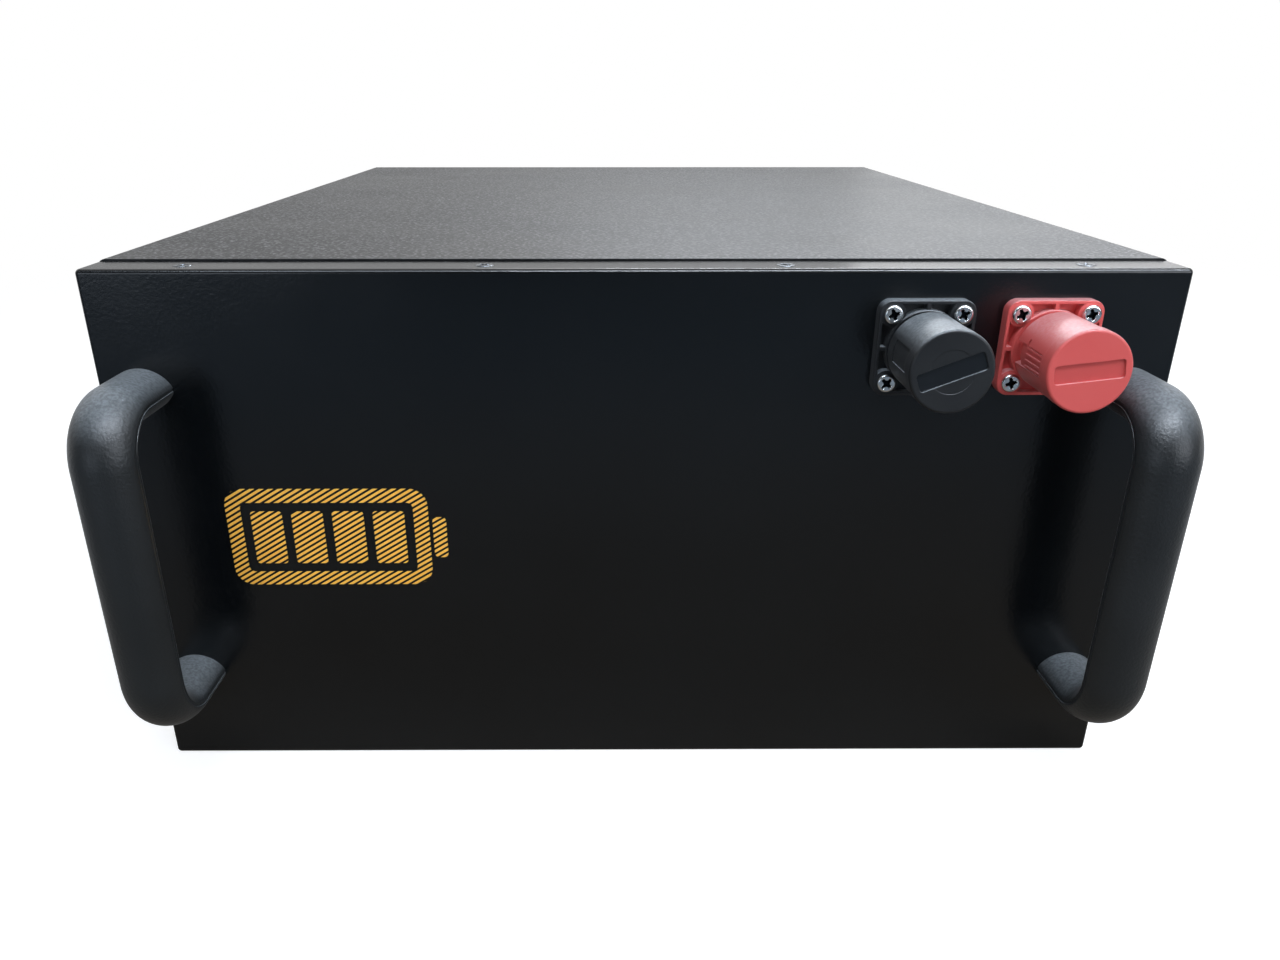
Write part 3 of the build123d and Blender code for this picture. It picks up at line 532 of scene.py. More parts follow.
@dataclass(frozen=True)
class WovenLaminate(Finish):
    """Epoxy over woven glass, pressed flat: a glossy sheet with its weave faint below.

    Attributes:
        weave_mm: Spacing of the threads.
        weave_depth_mm: Height of the threads.
        wave_turn: Length of one wave in the wave pattern's own units.
    """

    weave_mm: float = 0.8
    weave_depth_mm: float = 0.01
    wave_turn: float = 6.28

    def wire(self, tree: Tree, place: Socket, shader: Node) -> None:
        """Add the weave.

        Args:
            tree: Material's tree.
            place: Object coordinates.
            shader: Surface shader.
        """
        threads = {"Vector": place, "Scale": scale_of(self.weave_mm * self.wave_turn)}
        warp = add(tree, "ShaderNodeTexWave", threads, bands_direction="X").outputs["Fac"]
        weft = add(tree, "ShaderNodeTexWave", threads, bands_direction="Z").outputs["Fac"]
        weave = add(tree, "ShaderNodeMath", {0: warp, 1: weft}, operation="MULTIPLY")
        self.relief(tree, shader, weave, self.weave_depth_mm)


@dataclass(frozen=True)
class PrintedInk(Finish):
    """Screen-printed two-part ink on a textured coat: dense, a little uneven, thinner on the coat's grains.

    Attributes:
        screen_mm: Size of the uneven spots that the coat's grain leaves.
        lay_depth_mm: Height of those spots.
        thin_tone: Colour where the coat shows through thin ink, sRGB hex.
        thin_levels: Levels of the spots' pattern between which the ink gets thinner.
        thin_most: Most of that colour that shows.
    """

    screen_mm: float = 0.7
    lay_depth_mm: float = 0.01
    thin_tone: str = "#5a4022"
    thin_levels: tuple[float, float] = (0.6, 0.75)
    thin_most: float = 0.35

    def wire(self, tree: Tree, place: Socket, shader: Node) -> None:
        """Add the uneven lay of the ink.

        Args:
            tree: Material's tree.
            place: Object coordinates.
            shader: Surface shader.
        """
        spots = {"Vector": place, "Scale": scale_of(self.screen_mm), "Detail": GRAIN_DETAIL}
        lay = add(tree, "ShaderNodeTexNoise", spots)
        low, high = self.thin_levels
        thin = add(
            tree,
            "ShaderNodeMapRange",
            {"Value": lay.outputs["Fac"], "From Min": low, "From Max": high, "To Max": self.thin_most},
        )
        self.tint(tree, shader, thin, linear(self.thin_tone))
        self.relief(tree, shader, lay, self.lay_depth_mm)


class Slot(Enum):
    """Material slots of the record."""

    PANEL_COAT = "panel_coat"
    COVER_COAT = "cover_coat"
    PLATED_STEEL = "plated_steel"
    BLACK_SCREW = "black_screw"
    HANDLE_PLASTIC = "handle_plastic"
    ZINC_SCREW = "zinc_screw"
    BRASS = "brass"
    BLACK_PLASTIC = "black_plastic"
    RED_PLASTIC = "red_plastic"
    RUBBER = "rubber"
    CELL_WRAP = "cell_wrap"
    SEPARATOR_BOARD = "separator_board"
    PLAIN_ALUMINIUM = "plain_aluminium"
    COPPER = "copper"
    BOARD_GREEN = "board_green"
    BLACK_JACKET = "black_jacket"
    RED_JACKET = "red_jacket"


CAP_FACE_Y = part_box("black_cap")[0].y

FINISHES: dict[Slot, Finish] = {
    # Powder coat, sprayed and baked: almost black straight on, grey where it is seen flat. The grain of
    # both coats is drawn coarser than it is, so that it shows.
    Slot.PANEL_COAT: PowderCoat(
        "powder_coated_panel",
        "#06080a",
        "#0a0e11",
        rough=0.2,
        drift_mm=90,
        edge_mm=0.3,
        bloom=0.02,
        grain_mm=1.3,
        grain_depth_mm=0.05,
    ),
    # Powder coat of a coarser texture: duller, with a grey bloom at a low angle.
    Slot.COVER_COAT: PowderCoat(
        "powder_coated_cover",
        "#0a0b0d",
        "#0f1012",
        rough=0.4,
        drift_mm=120,
        edge_mm=0.5,
        mirror=0.3,
        bloom=0.05,
        grain_mm=1.6,
        grain_depth_mm=0.2,
    ),
    # Sheet steel, zinc plated: cool grey with a soft glint.
    Slot.PLATED_STEEL: PlatedMetal("zinc_plated_sheet", "#8f959b", "#a4a9ad", rough=0.38),
    # Screw steel, black passivated over zinc: dark, bright only on the rim, with painted shade in the cross.
    Slot.BLACK_SCREW: ScrewMetal("black_passivated_screw", "#5c6064", "#6b6f73", rough=0.26, drift_mm=4),
    # Glass-filled polyamide, moulded: dull black with a soft sheen on its bends. Its grain, too, is drawn
    # coarser than it is, so that it shows.
    Slot.HANDLE_PLASTIC: MouldedPlastic(
        "moulded_polyamide",
        "#15181a",
        "#1b1f21",
        rough=0.42,
        drift_mm=40,
        bloom=0.1,
        grain_mm=1.3,
        grain_depth_mm=0.16,
        dust=0.05,
        # Painted light from above: faces that look up are made paler in colour.
        painted_top_light=0.3,
    ),
    # Screw steel, bright zinc plated: near white where it is lit, with painted blue-grey shade in the cross.
    Slot.ZINC_SCREW: ScrewMetal(
        "bright_zinc_screw", "#dfe2e4", "#eceeef", rough=0.2, drift_mm=3, mark_mm=0.6, mark_depth_mm=0.003
    ),
    # Brass, turned: warm yellow with fine rings.
    Slot.BRASS: PlatedMetal("turned_brass", "#a8894f", "#b99a5e", rough=0.28, drift_mm=8),
    # ABS, moulded in a fine-grained tool: black, with soft edges that catch a pale light.
    Slot.BLACK_PLASTIC: MouldedPlastic(
        "moulded_abs_black",
        "#131518",
        "#191c1f",
        rough=0.42,
        drift_mm=20,
        edge_mm=0.35,
        bloom=0.08,
        dust=0.03,
        # Painted light from above: faces that look up are made paler in colour.
        painted_top_light=0.4,
        inlay_y=CAP_FACE_Y,
    ),
    # ABS, moulded, with a pale red pigment: even colour, with painted light making what faces up paler.
    Slot.RED_PLASTIC: MouldedPlastic(
        "moulded_abs_red",
        "#dc5854",
        "#e05e5a",
        rough=0.42,
        drift_mm=20,
        edge_mm=0.35,
        bloom=0.1,
        inlay_y=CAP_FACE_Y,
        dust=0.02,
        # Painted light from above, in a pale pink.
        painted_top_light=0.42,
        top_light_tone="#f2c6c8",
    ),
    # EPDM rubber, moulded: black and dull.
    Slot.RUBBER: MouldedPlastic("moulded_rubber", "#151617", "#1a1b1c", rough=0.6, drift_mm=8),
    # PET film, shrunk over the can: glossy blue with slack spots.
    Slot.CELL_WRAP: MouldedPlastic(
        "shrunk_film_blue", "#1c4a8c", "#215397", rough=0.22, drift_mm=40, grain_mm=9, grain_depth_mm=0.05
    ),
    # Glass-epoxy sheet: pale green with its weave below the surface.
    Slot.SEPARATOR_BOARD: WovenLaminate("glass_epoxy_sheet", "#a9b28a", "#b4bc95", rough=0.35),
    # Aluminium plate, rolled and left bare: pale grey with rolling marks.
    Slot.PLAIN_ALUMINIUM: PlatedMetal("rolled_aluminium", "#b4b7ba", "#c0c3c5", rough=0.36),
    # Copper bar, rolled: warm red brown, duller where it was handled.
    Slot.COPPER: PlatedMetal("rolled_copper", "#a9653f", "#b87450", rough=0.3, drift_mm=15),
    # Circuit board, glass epoxy under green solder mask: glossy green.
    Slot.BOARD_GREEN: WovenLaminate("green_solder_mask", "#14502f", "#1a5c38", rough=0.25),
    # PVC, extruded: smooth black with a faint waviness along the cable.
    Slot.BLACK_JACKET: MouldedPlastic("extruded_pvc_black", "#161718", "#1b1c1d", rough=0.35, grain_mm=3),
    # PVC, extruded, pigmented red.
    Slot.RED_JACKET: MouldedPlastic("extruded_pvc_red", "#8f1f1d", "#9c2624", rough=0.35, grain_mm=3),
}

# Two-part screen ink, amber orange, printed over the powder coat.
MARK_INK = PrintedInk("screen_printed_ink", "#ffbe4a", "#ffc956", rough=0.4, drift_mm=25)


# ---------------------------------------------------------------- geometry trees


@dataclass
class Recipe:
    """A Geometry Nodes tree with named inputs; nothing in it is random.

    Attributes:
        name: Name of the tree.
        tree: The tree.
        source: Node that carries the tree's inputs.
    """

    name: str
    tree: Tree = field(init=False)
    source: Node = field(init=False)

    def __post_init__(self) -> None:
        """Make the empty tree, with its geometry in and out."""
        self.tree = bpy.data.node_groups.new(self.name, "GeometryNodeTree")
        self.tree.interface.new_socket("Geometry", in_out="INPUT", socket_type="NodeSocketGeometry")
        self.tree.interface.new_socket("Geometry", in_out="OUTPUT", socket_type="NodeSocketGeometry")
        self.source = self.tree.nodes.new("NodeGroupInput")

    def need(self, name: str, kind: str = "NodeSocketFloat") -> Socket:
        """Declare one named input.

        Args:
            name: Name of the input.
            kind: Socket type.

        Returns:
            The socket that carries the input inside the tree.
        """
        self.tree.interface.new_socket(name, in_out="INPUT", socket_type=kind)
        return self.source.outputs[name]

    def close(self, geometry: Input) -> None:
        """End the tree with plain geometry in its material.

        Args:
            geometry: What the tree has made.
        """
        real = add(self.tree, "GeometryNodeRealizeInstances", {"Geometry": geometry})
        material = self.need("Material", "NodeSocketMaterial")
        dressed = add(self.tree, "GeometryNodeSetMaterial", {"Geometry": real, "Material": material})
        add(self.tree, "NodeGroupOutput", {0: dressed})

    def settle(self, thing: Thing, values: Mapping[str, Any]) -> None:
        """Run the tree on an object and keep the result as its plain mesh.

        Args:
            thing: Object that holds the tree's input geometry.
            values: Value of each named input.
        """
        modifier = thing.modifiers.new(self.name, "NODES")
        modifier.node_group = self.tree
        for item in self.tree.interface.items_tree:
            if item.item_type == "SOCKET" and item.in_out == "INPUT" and item.name in values:
                modifier[item.identifier] = values[item.name]
        graph = bpy.context.evaluated_depsgraph_get()
        graph.update()
        made = bpy.data.meshes.new_from_object(thing.evaluated_get(graph))
        thing.modifiers.remove(modifier)
        thing.data = made
        made.materials.clear()
        made.materials.append(values["Material"])
        made.polygons.foreach_set("material_index", [0] * len(made.polygons))


def new_thing(
    name: str,
    points: Sequence[Vector] = (),
    edges: Sequence[tuple[int, int]] = (),
    faces: Sequence[tuple[int, ...]] = (),
) -> Thing:
    """Make a mesh object at the origin.

    Args:
        name: Object name.
        points: Vertices in metres.
        edges: Pairs of vertex numbers.
        faces: Rings of vertex numbers.

    Returns:
        The new object, linked to the scene.
    """
    mesh = bpy.data.meshes.new(name)
    mesh.from_pydata(points, edges, faces)
    return new_object(name, mesh)


def tidy_mesh(thing: Thing, sharp_degrees: float = 30.0) -> None:
    """Turn the faces outwards and smooth them up to an angle.

    Args:
        thing: Mesh object.
        sharp_degrees: Angle past which an edge stays sharp.
    """
    form = bmesh.new()
    form.from_mesh(thing.data)
    bmesh.ops.remove_doubles(form, verts=form.verts, dist=WELD)
    bmesh.ops.recalc_face_normals(form, faces=form.faces)
    form.to_mesh(thing.data)
    form.free()
    thing.data.polygons.foreach_set("use_smooth", [True] * len(thing.data.polygons))
    thing.data.set_sharp_from_angle(angle=math.radians(sharp_degrees))


# ---------------------------------------------------------------- the case


@dataclass
class Case:
    """The folded case and everything inside it, as the frame has them."""

    def dress(self) -> None:
        """Give every CAD node the finish of its material slot."""
        slots = {entry["node"]: entry["material_slot"] for entry in frame["record"]["subparts"]}
        for name, node in frame["nodes"].items():
            finish = FINISHES[Slot(slots[name])]
            for place in node.material_slots:
                place.material = finish.material()
            log.info("dressed %s in %s", name, finish.name)


@dataclass
class GapShadeStrip:
    """Painted shade: a black strip on the front frame, seen as the line between the panel's flange and the
    cover.

    Attributes:
        slack: Room left to each neighbour, m.
        top: Height of the strip's top above the front frame, m.
        under_cover: How far the strip runs back below the cover, m.
        end_inset: Distance from the frame's ends to the strip's, m.
    """

    slack: float = 0.05 * MM
    top: float = 0.95 * MM
    under_cover: float = 6.0 * MM
    end_inset: float = 2.0 * MM

    def build(self) -> None:
        """Lay the strip on the frame, just under the cover."""
        frame_low, frame_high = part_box("front_frame")
        cover_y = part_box("top_cover")[0].y
        xs = (frame_low.x + self.end_inset, frame_high.x - self.end_inset)
        ys = (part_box("front_panel")[1].y + self.slack, cover_y + self.under_cover)
        zs = (frame_high.z + self.slack, frame_high.z + self.top)
        form = bmesh.new()
        bmesh.ops.create_cube(form, size=1.0)
        for vert in form.verts:
            vert.co = Vector([pair[value > 0] for pair, value in zip((xs, ys, zs), vert.co)])
        thing = new_thing("gap_shade_strip")
        form.to_mesh(thing.data)
        form.free()
        tidy_mesh(thing)
        # The strip's black is painted shade, in the rubber finish.
        thing.data.materials.append(FINISHES[Slot.RUBBER].material())
        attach(thing, "case")
        log.info("built %s", thing.name)


class HeadForm(Enum):
    """Forms of screw head."""

    PAN = "pan"
    COUNTERSUNK = "countersunk"


@dataclass
class CrossHeadScrews:
    """A set of screws with a cross recess, grown on points by one geometry tree.

    Attributes:
        name: Object name.
        replaces: CAD node that the set stands for.
        form: Form of the head.
        slot: Material slot.
        head_r: Head radius, mm.
        head_h: Head height, mm.
        edge_r: Radius of a pan head's rim, mm.
        flat_edge_r: Radius of a countersunk head's rim, mm.
        shank_r: Shank radius, mm.
        shank_l: Shank length below the head, mm.
        proud: Height of a countersunk head's face above the sheet, mm.
        arm_w: Width of the cross's arms, mm.
        arm_l: Length of the cross from end to end, mm.
        arm_foot: Half width of an arm at its foot, as a share of its width at the face.
        ramp_foot: Half length of the cross at its foot, as a share of its length at the face.
        well_mouth: Radius of the well in the cross's middle at the face, as a share of an arm's width.
        well_foot: Radius of that well at its foot, as a share of an arm's width.
        cross_d: Depth of the cross, mm.
        thread_pitch: Pitch of the thread, mm.
        thread_h: Height of the thread, mm.
        head_sides: Corners around the head.
        head_rings: Rings from the head's middle to its rim.
        shank_sides: Corners around the shank.
        shank_rings: Rings along the shank.
        sharp: Angle past which an edge stays sharp, degrees.
    """

    name: str
    replaces: str
    form: HeadForm
    slot: Slot
    head_r: float = 3.8
    head_h: float = 1.7
    edge_r: float = 1.0
    flat_edge_r: float = 0.5
    shank_r: float = 2.0
    shank_l: float = 15.0
    proud: float = 0.25
    arm_w: float = 1.35
    arm_l: float = 4.9
    arm_foot: float = 0.3
    ramp_foot: float = 0.36
    well_mouth: float = 1.05
    well_foot: float = 0.6
    cross_d: float = 1.55
    thread_pitch: float = 0.7
    thread_h: float = 0.25
    head_sides: int = 72
    head_rings: int = 22
    shank_sides: int = 20
    shank_rings: int = 48
    sharp: float = 38.0

    def recipe(self) -> Recipe:
        """Make the tree that grows one screw on each point.

        Returns:
            The tree, which every set of screws can share.
        """
        made = Recipe("cross_head_screws")
        tree = made.tree
        seat_z = made.need("Seat Height")
        head = self.head(made, seat_z)
        shank = self.shank(made, seat_z)
        screw = add(tree, "GeometryNodeJoinGeometry")
        for piece in (head, shank):
            tree.links.new(piece.outputs[0], screw.inputs[0])
        axis = add(tree, "GeometryNodeInputNamedAttribute", {"Name": AXIS}, data_type="FLOAT_VECTOR")
        own_turn = add(tree, "GeometryNodeInputNamedAttribute", {"Name": TURN}, data_type="FLOAT")
        aimed = add(tree, "FunctionNodeAlignRotationToVector", {"Vector": axis}, axis="Z")
        spin = add(tree, "FunctionNodeAxisAngleToRotation", {"Axis": (0.0, 0.0, 1.0), "Angle": own_turn})
        both = {"Rotation": aimed, "Rotate By": spin}
        turned = add(tree, "FunctionNodeRotateRotation", both, rotation_space="LOCAL")
        planting = {"Points": made.source.outputs[0], "Instance": screw, "Rotation": turned}
        made.close(add(tree, "GeometryNodeInstanceOnPoints", planting))
        return made

    def head(self, made: Recipe, seat_z: Socket) -> Node:
        """Shape the head: a drum whose top is pressed down by the rim's radius and by the cross.

        Args:
            made: The screw tree.
            seat_z: Height of the head's underside.

        Returns:
            Node whose first output is the head.
        """
        tree = made.tree
        head_r = made.need("Head Radius")
        seat_r = made.need("Seat Radius")
        head_h = made.need("Head Height")
        edge_r = made.need("Rim Radius")
        arm_w = made.need("Cross Width")
        arm_l = made.need("Cross Length")
        cross_d = made.need("Cross Depth")
        drum = add(
            tree,
            "GeometryNodeMeshCone",
            {
                "Vertices": self.head_sides,
                "Side Segments": 2,
                "Fill Segments": self.head_rings,
                "Radius Top": head_r,
                "Radius Bottom": seat_r,
                "Depth": head_h,
            },
        )
        place = add(tree, "GeometryNodeInputPosition")
        part = add(tree, "ShaderNodeSeparateXYZ", {"Vector": place})
        flat = add(tree, "ShaderNodeCombineXYZ", {"X": part.outputs["X"], "Y": part.outputs["Y"]})
        radius = add(tree, "ShaderNodeVectorMath", {0: flat}, operation="LENGTH").outputs["Value"]

        # Rim: past its start the top falls away on an arc.
        rim_start = add(tree, "ShaderNodeMath", {0: head_r, 1: edge_r}, operation="SUBTRACT")
        past = add(tree, "ShaderNodeMath", {0: radius, 1: rim_start}, operation="SUBTRACT")
        past_rim = add(tree, "ShaderNodeMath", {0: past, 1: 0.0}, operation="MAXIMUM")
        past_sq = add(tree, "ShaderNodeMath", {0: past_rim, 1: 2.0}, operation="POWER")
        rim_sq = add(tree, "ShaderNodeMath", {0: edge_r, 1: 2.0}, operation="POWER")
        left_sq = add(tree, "ShaderNodeMath", {0: rim_sq, 1: past_sq}, operation="SUBTRACT")
        left_pos = add(tree, "ShaderNodeMath", {0: left_sq, 1: 0.0}, operation="MAXIMUM")
        left = add(tree, "ShaderNodeMath", {0: left_pos}, operation="SQRT")
        drop = add(tree, "ShaderNodeMath", {0: edge_r, 1: left}, operation="SUBTRACT")

        # Cross: four arms with sloping walls and ends, and a well where they meet.
        across = add(tree, "ShaderNodeMath", {0: part.outputs["X"]}, operation="ABSOLUTE")
        along = add(tree, "ShaderNodeMath", {0: part.outputs["Y"]}, operation="ABSOLUTE")
        side = add(tree, "ShaderNodeMath", {0: across, 1: along}, operation="MINIMUM")
        reach = add(tree, "ShaderNodeMath", {0: across, 1: along}, operation="MAXIMUM")
        half_w = add(tree, "ShaderNodeMath", {0: arm_w, 1: 0.5}, operation="MULTIPLY")
        foot_w = add(tree, "ShaderNodeMath", {0: arm_w, 1: self.arm_foot}, operation="MULTIPLY")
        half_l = add(tree, "ShaderNodeMath", {0: arm_l, 1: 0.5}, operation="MULTIPLY")
        foot_l = add(tree, "ShaderNodeMath", {0: arm_l, 1: self.ramp_foot}, operation="MULTIPLY")
        well_out = add(tree, "ShaderNodeMath", {0: arm_w, 1: self.well_mouth}, operation="MULTIPLY")
        well_in = add(tree, "ShaderNodeMath", {0: arm_w, 1: self.well_foot}, operation="MULTIPLY")
        slope = {"Value": side, "From Min": half_w, "From Max": foot_w}
        wall = add(tree, "ShaderNodeMapRange", slope, interpolation_type="SMOOTHSTEP")
        ramp = add(tree, "ShaderNodeMapRange", {"Value": reach, "From Min": half_l, "From Max": foot_l})
        arms = add(tree, "ShaderNodeMath", {0: wall, 1: ramp}, operation="MULTIPLY")
        bowl = {"Value": radius, "From Min": well_out, "From Max": well_in}
        well = add(tree, "ShaderNodeMapRange", bowl, interpolation_type="SMOOTHSTEP")
        press = add(tree, "ShaderNodeMath", {0: arms, 1: well}, operation="MAXIMUM")
        cut = add(tree, "ShaderNodeMath", {0: press, 1: cross_d}, operation="MULTIPLY")

        # The drum's own rise, from 0 at its seat to 1 at its face, is stretched up to the pressed top.
        lost = add(tree, "ShaderNodeMath", {0: drop, 1: cut}, operation="ADD")
        top = add(tree, "ShaderNodeMath", {0: head_h, 1: lost}, operation="SUBTRACT")
        rise = add(tree, "ShaderNodeMath", {0: part.outputs["Z"], 1: head_h}, operation="DIVIDE")
        new_z = add(tree, "ShaderNodeMath", {0: rise, 1: top}, operation="MULTIPLY")
        seated = add(tree, "ShaderNodeMath", {0: new_z, 1: seat_z}, operation="ADD")
        spot = {"X": part.outputs["X"], "Y": part.outputs["Y"], "Z": seated}
        shaped = add(tree, "ShaderNodeCombineXYZ", spot)
        told = {"Geometry": drum, "Name": RECESS, "Value": press}
        pressed = add(tree, "GeometryNodeStoreNamedAttribute", told, domain="POINT")
        return add(tree, "GeometryNodeSetPosition", {"Geometry": pressed, "Position": shaped})

    def shank(self, made: Recipe, seat_z: Socket) -> Node:
        """Shape the shank: a rod whose wall swells along a helix.

        Args:
            made: The screw tree.
            seat_z: Height of the head's underside.

        Returns:
            Node whose first output is the shank.
        """
        tree = made.tree
        shank_r = made.need("Shank Radius")
        shank_l = made.need("Shank Length")
        pitch = made.need("Thread Pitch")
        thread_h = made.need("Thread Height")
        rod = add(
            tree,
            "GeometryNodeMeshCylinder",
            {
                "Vertices": self.shank_sides,
                "Side Segments": self.shank_rings,
                "Fill Segments": 1,
                "Radius": shank_r,
                "Depth": shank_l,
            },
        )
        place = add(tree, "GeometryNodeInputPosition")
        part = add(tree, "ShaderNodeSeparateXYZ", {"Vector": place})
        flat = add(tree, "ShaderNodeCombineXYZ", {"X": part.outputs["X"], "Y": part.outputs["Y"]})
        turn = add(tree, "ShaderNodeMath", {0: part.outputs["Y"], 1: part.outputs["X"]}, operation="ARCTAN2")
        steps = add(tree, "ShaderNodeMath", {0: part.outputs["Z"], 1: pitch}, operation="DIVIDE")
        phase = add(tree, "ShaderNodeMath", {0: steps, 1: 2 * math.pi}, operation="MULTIPLY")
        helix = add(tree, "ShaderNodeMath", {0: phase, 1: turn}, operation="SUBTRACT")
        swell = add(tree, "ShaderNodeMath", {0: helix}, operation="COSINE")
        depths = {"Value": swell, "From Min": -1.0, "From Max": 1.0, "To Min": -1.0, "To Max": 0.0}
        groove = add(tree, "ShaderNodeMapRange", depths)
        inward = add(tree, "ShaderNodeMath", {0: groove, 1: thread_h}, operation="MULTIPLY")
        outward = add(tree, "ShaderNodeVectorMath", {0: flat}, operation="NORMALIZE")
        shift = add(tree, "ShaderNodeVectorMath", {0: outward, "Scale": inward}, operation="SCALE")
        threaded = add(tree, "GeometryNodeSetPosition", {"Geometry": rod.outputs["Mesh"], "Offset": shift})
        half_down = add(tree, "ShaderNodeMath", {0: shank_l, 1: -0.5}, operation="MULTIPLY")
        middle_z = add(tree, "ShaderNodeMath", {0: half_down, 1: seat_z}, operation="ADD")
        down = add(tree, "ShaderNodeCombineXYZ", {"Z": middle_z})
        return add(tree, "GeometryNodeTransform", {"Geometry": threaded, "Translation": down})

    def build(self, recipe: Recipe, places: Sequence[Place]) -> None:
        """Grow the set and put it in its CAD node's place.

        Args:
            recipe: The screw tree.
            places: Place of each screw.
        """
        thing = new_thing(self.name, [point for point, _, _ in places])
        axes = thing.data.attributes.new(AXIS, "FLOAT_VECTOR", "POINT")
        for item, (_, axis, _) in zip(axes.data, places):
            item.vector = axis
        turns = thing.data.attributes.new(TURN, "FLOAT", "POINT")
        for item, (_, _, turn) in zip(turns.data, places):
            item.value = math.radians(turn)
        sunk = self.form is HeadForm.COUNTERSUNK
        height = self.head_r - self.shank_r if sunk else self.head_h
        sizes = {
            "Head Radius": self.head_r,
            "Seat Radius": self.shank_r if sunk else self.head_r,
            "Head Height": height,
            "Rim Radius": self.flat_edge_r if sunk else self.edge_r,
            "Seat Height": self.proud - height if sunk else 0.0,
            "Cross Width": self.arm_w,
            "Cross Length": self.arm_l,
            "Cross Depth": self.cross_d,
            "Shank Radius": self.shank_r,
            "Shank Length": self.shank_l,
            "Thread Pitch": self.thread_pitch,
            "Thread Height": self.thread_h,
        }
        values = {name: size * MM for name, size in sizes.items()}
        recipe.settle(thing, {**values, "Material": FINISHES[self.slot].material()})
        tidy_mesh(thing, self.sharp)
        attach(thing, "case")
        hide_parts(self.replaces)
        log.info("built %s with %d screws", self.name, len(places))


@dataclass
class Fasteners:
    """Every screw that shows, with the places that the case's sizes give them.

    Attributes:
        flange_inset: Outermost flange screw from the case's side, mm.
        flange_back: Flange screws behind the panel's face, mm.
        side_inset: Side screws from the case's top and bottom, mm.
        rear_inset: Outermost rear screw from the case's side, mm.
        rear_drop: Rear screws below the cover's top, mm.
        cover_front: Front cover screws behind the cover's front edge, mm.
        cover_low: Low cover screws above the case's base, mm.
        cover_inset: Low cover screws from the pan flange's ends, mm.
        low_count: Number of low cover screws on each side.
        rear_count: Number of rear cover screws.
        pan_flange_start: Pan's side flange behind the panel's face, mm.
        pan_rear: Pan's rear wall inside the case's rear, mm.
        terminal_pitch: Screws of one terminal, mm.
        flange_t: Thickness of a terminal's flange, mm.
        short: Shank length of the screws through sheet metal, mm.
        upper_turns: Turn of the cross of each upper flange screw, degrees.
        lower_turn: Further turn of the flange screw below it, degrees.
        terminal_turns: Turn of the cross of each terminal screw, degrees.
        panel_side_turn: Turn of a cross in the panel's sides, as degrees at 0 and degrees per metre up.
        cover_side_turn: The same for the cover's sides in front.
        cover_low_turn: The same for the low cover screws, per metre back.
        rear_turn: The same for the rear cover screws, per metre across.
    """

    flange_inset: float = 39.35
    flange_back: float = 9.5
    side_inset: float = 60.0
    rear_inset: float = 33.5
    rear_drop: float = 9.0
    cover_front: float = 9.0
    cover_low: float = 14.0
    cover_inset: float = 90.0
    low_count: int = 3
    rear_count: int = 4
    pan_flange_start: float = 40.5
    pan_rear: float = 1.8
    terminal_pitch: float = 27.7
    flange_t: float = 5.5
    short: float = 6.1
    upper_turns: tuple[float, ...] = (12, 50, 28, 66)
    lower_turn: float = 25
    terminal_turns: tuple[float, ...] = (48, 22, 38, 30, 15, 28, 10, 20)
    panel_side_turn: tuple[float, float] = (40, 900)
    cover_side_turn: tuple[float, float] = (20, 500)
    cover_low_turn: tuple[float, float] = (35, 300)
    rear_turn: tuple[float, float] = (15, 400)

    def row(self, low: float, high: float, count: int) -> list[float]:
        """Return evenly spaced places between two ends."""
        return [low + (high - low) * i / (count - 1) for i in range(count)]

    def stray(self, turn: tuple[float, float], place: float) -> float:
        """Return the turn at which a screw came to rest, in degrees, from its place in metres."""
        return turn[0] + turn[1] * place

    def panel_places(self) -> list[Place]:
        """Place the screws through the front panel's flanges.

        Returns:
            Place of each screw.
        """
        low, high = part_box("front_panel")
        inset = self.flange_inset * MM
        y = low.y + self.flange_back * MM
        places = []
        for x, turn in zip(self.row(low.x + inset, high.x - inset, len(self.upper_turns)), self.upper_turns):
            places.append((Vector((x, y, high.z)), Vector((0, 0, 1)), turn))
            places.append((Vector((x, y, low.z)), Vector((0, 0, -1)), turn + self.lower_turn))
        for x, side in ((low.x, -1), (high.x, 1)):
            for z in (low.z + self.side_inset * MM, high.z - self.side_inset * MM):
                turn = self.stray(self.panel_side_turn, z)
                places.append((Vector((x, y, z)), Vector((side, 0, 0)), turn))
        return places

    def cover_places(self) -> list[Place]:
        """Place the screws through the top cover.

        Returns:
            Place of each screw.
        """
        panel_low, panel_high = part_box("front_panel")
        low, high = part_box("top_cover")
        first = panel_low.y + (self.pan_flange_start + self.cover_inset) * MM
        last = high.y - (self.pan_rear + self.cover_inset) * MM
        inset = self.rear_inset * MM
        places = []
        for x, side in ((low.x, -1), (high.x, 1)):
            out = Vector((side, 0, 0))
            for y in self.row(first, last, self.low_count):
                places.append((Vector((x, y, self.cover_low * MM)), out, self.stray(self.cover_low_turn, y)))
            for z in (self.side_inset * MM, panel_high.z - self.side_inset * MM):
                point = Vector((x, low.y + self.cover_front * MM, z))
                places.append((point, out, self.stray(self.cover_side_turn, z)))
        for x in self.row(low.x + inset, high.x - inset, self.rear_count):
            point = Vector((x, high.y, high.z - self.rear_drop * MM))
            places.append((point, Vector((0, 1, 0)), self.stray(self.rear_turn, x)))
        return places

    def terminal_places(self) -> list[Place]:
        """Place the screws through the terminal flanges.

        Returns:
            Place of each screw.
        """
        face_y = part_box("front_panel")[0].y - self.flange_t * MM
        half = self.terminal_pitch / 2 * MM
        turns = iter(self.terminal_turns)
        places = []
        for terminal in ("black_terminal_body", "red_terminal_body"):
            low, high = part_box(terminal)
            middle = (low + high) / 2
            for sx, sz in ((-1, -1), (-1, 1), (1, -1), (1, 1)):
                point = Vector((middle.x + sx * half, face_y, middle.z + sz * half))
                places.append((point, Vector((0, -1, 0)), next(turns)))
        return places

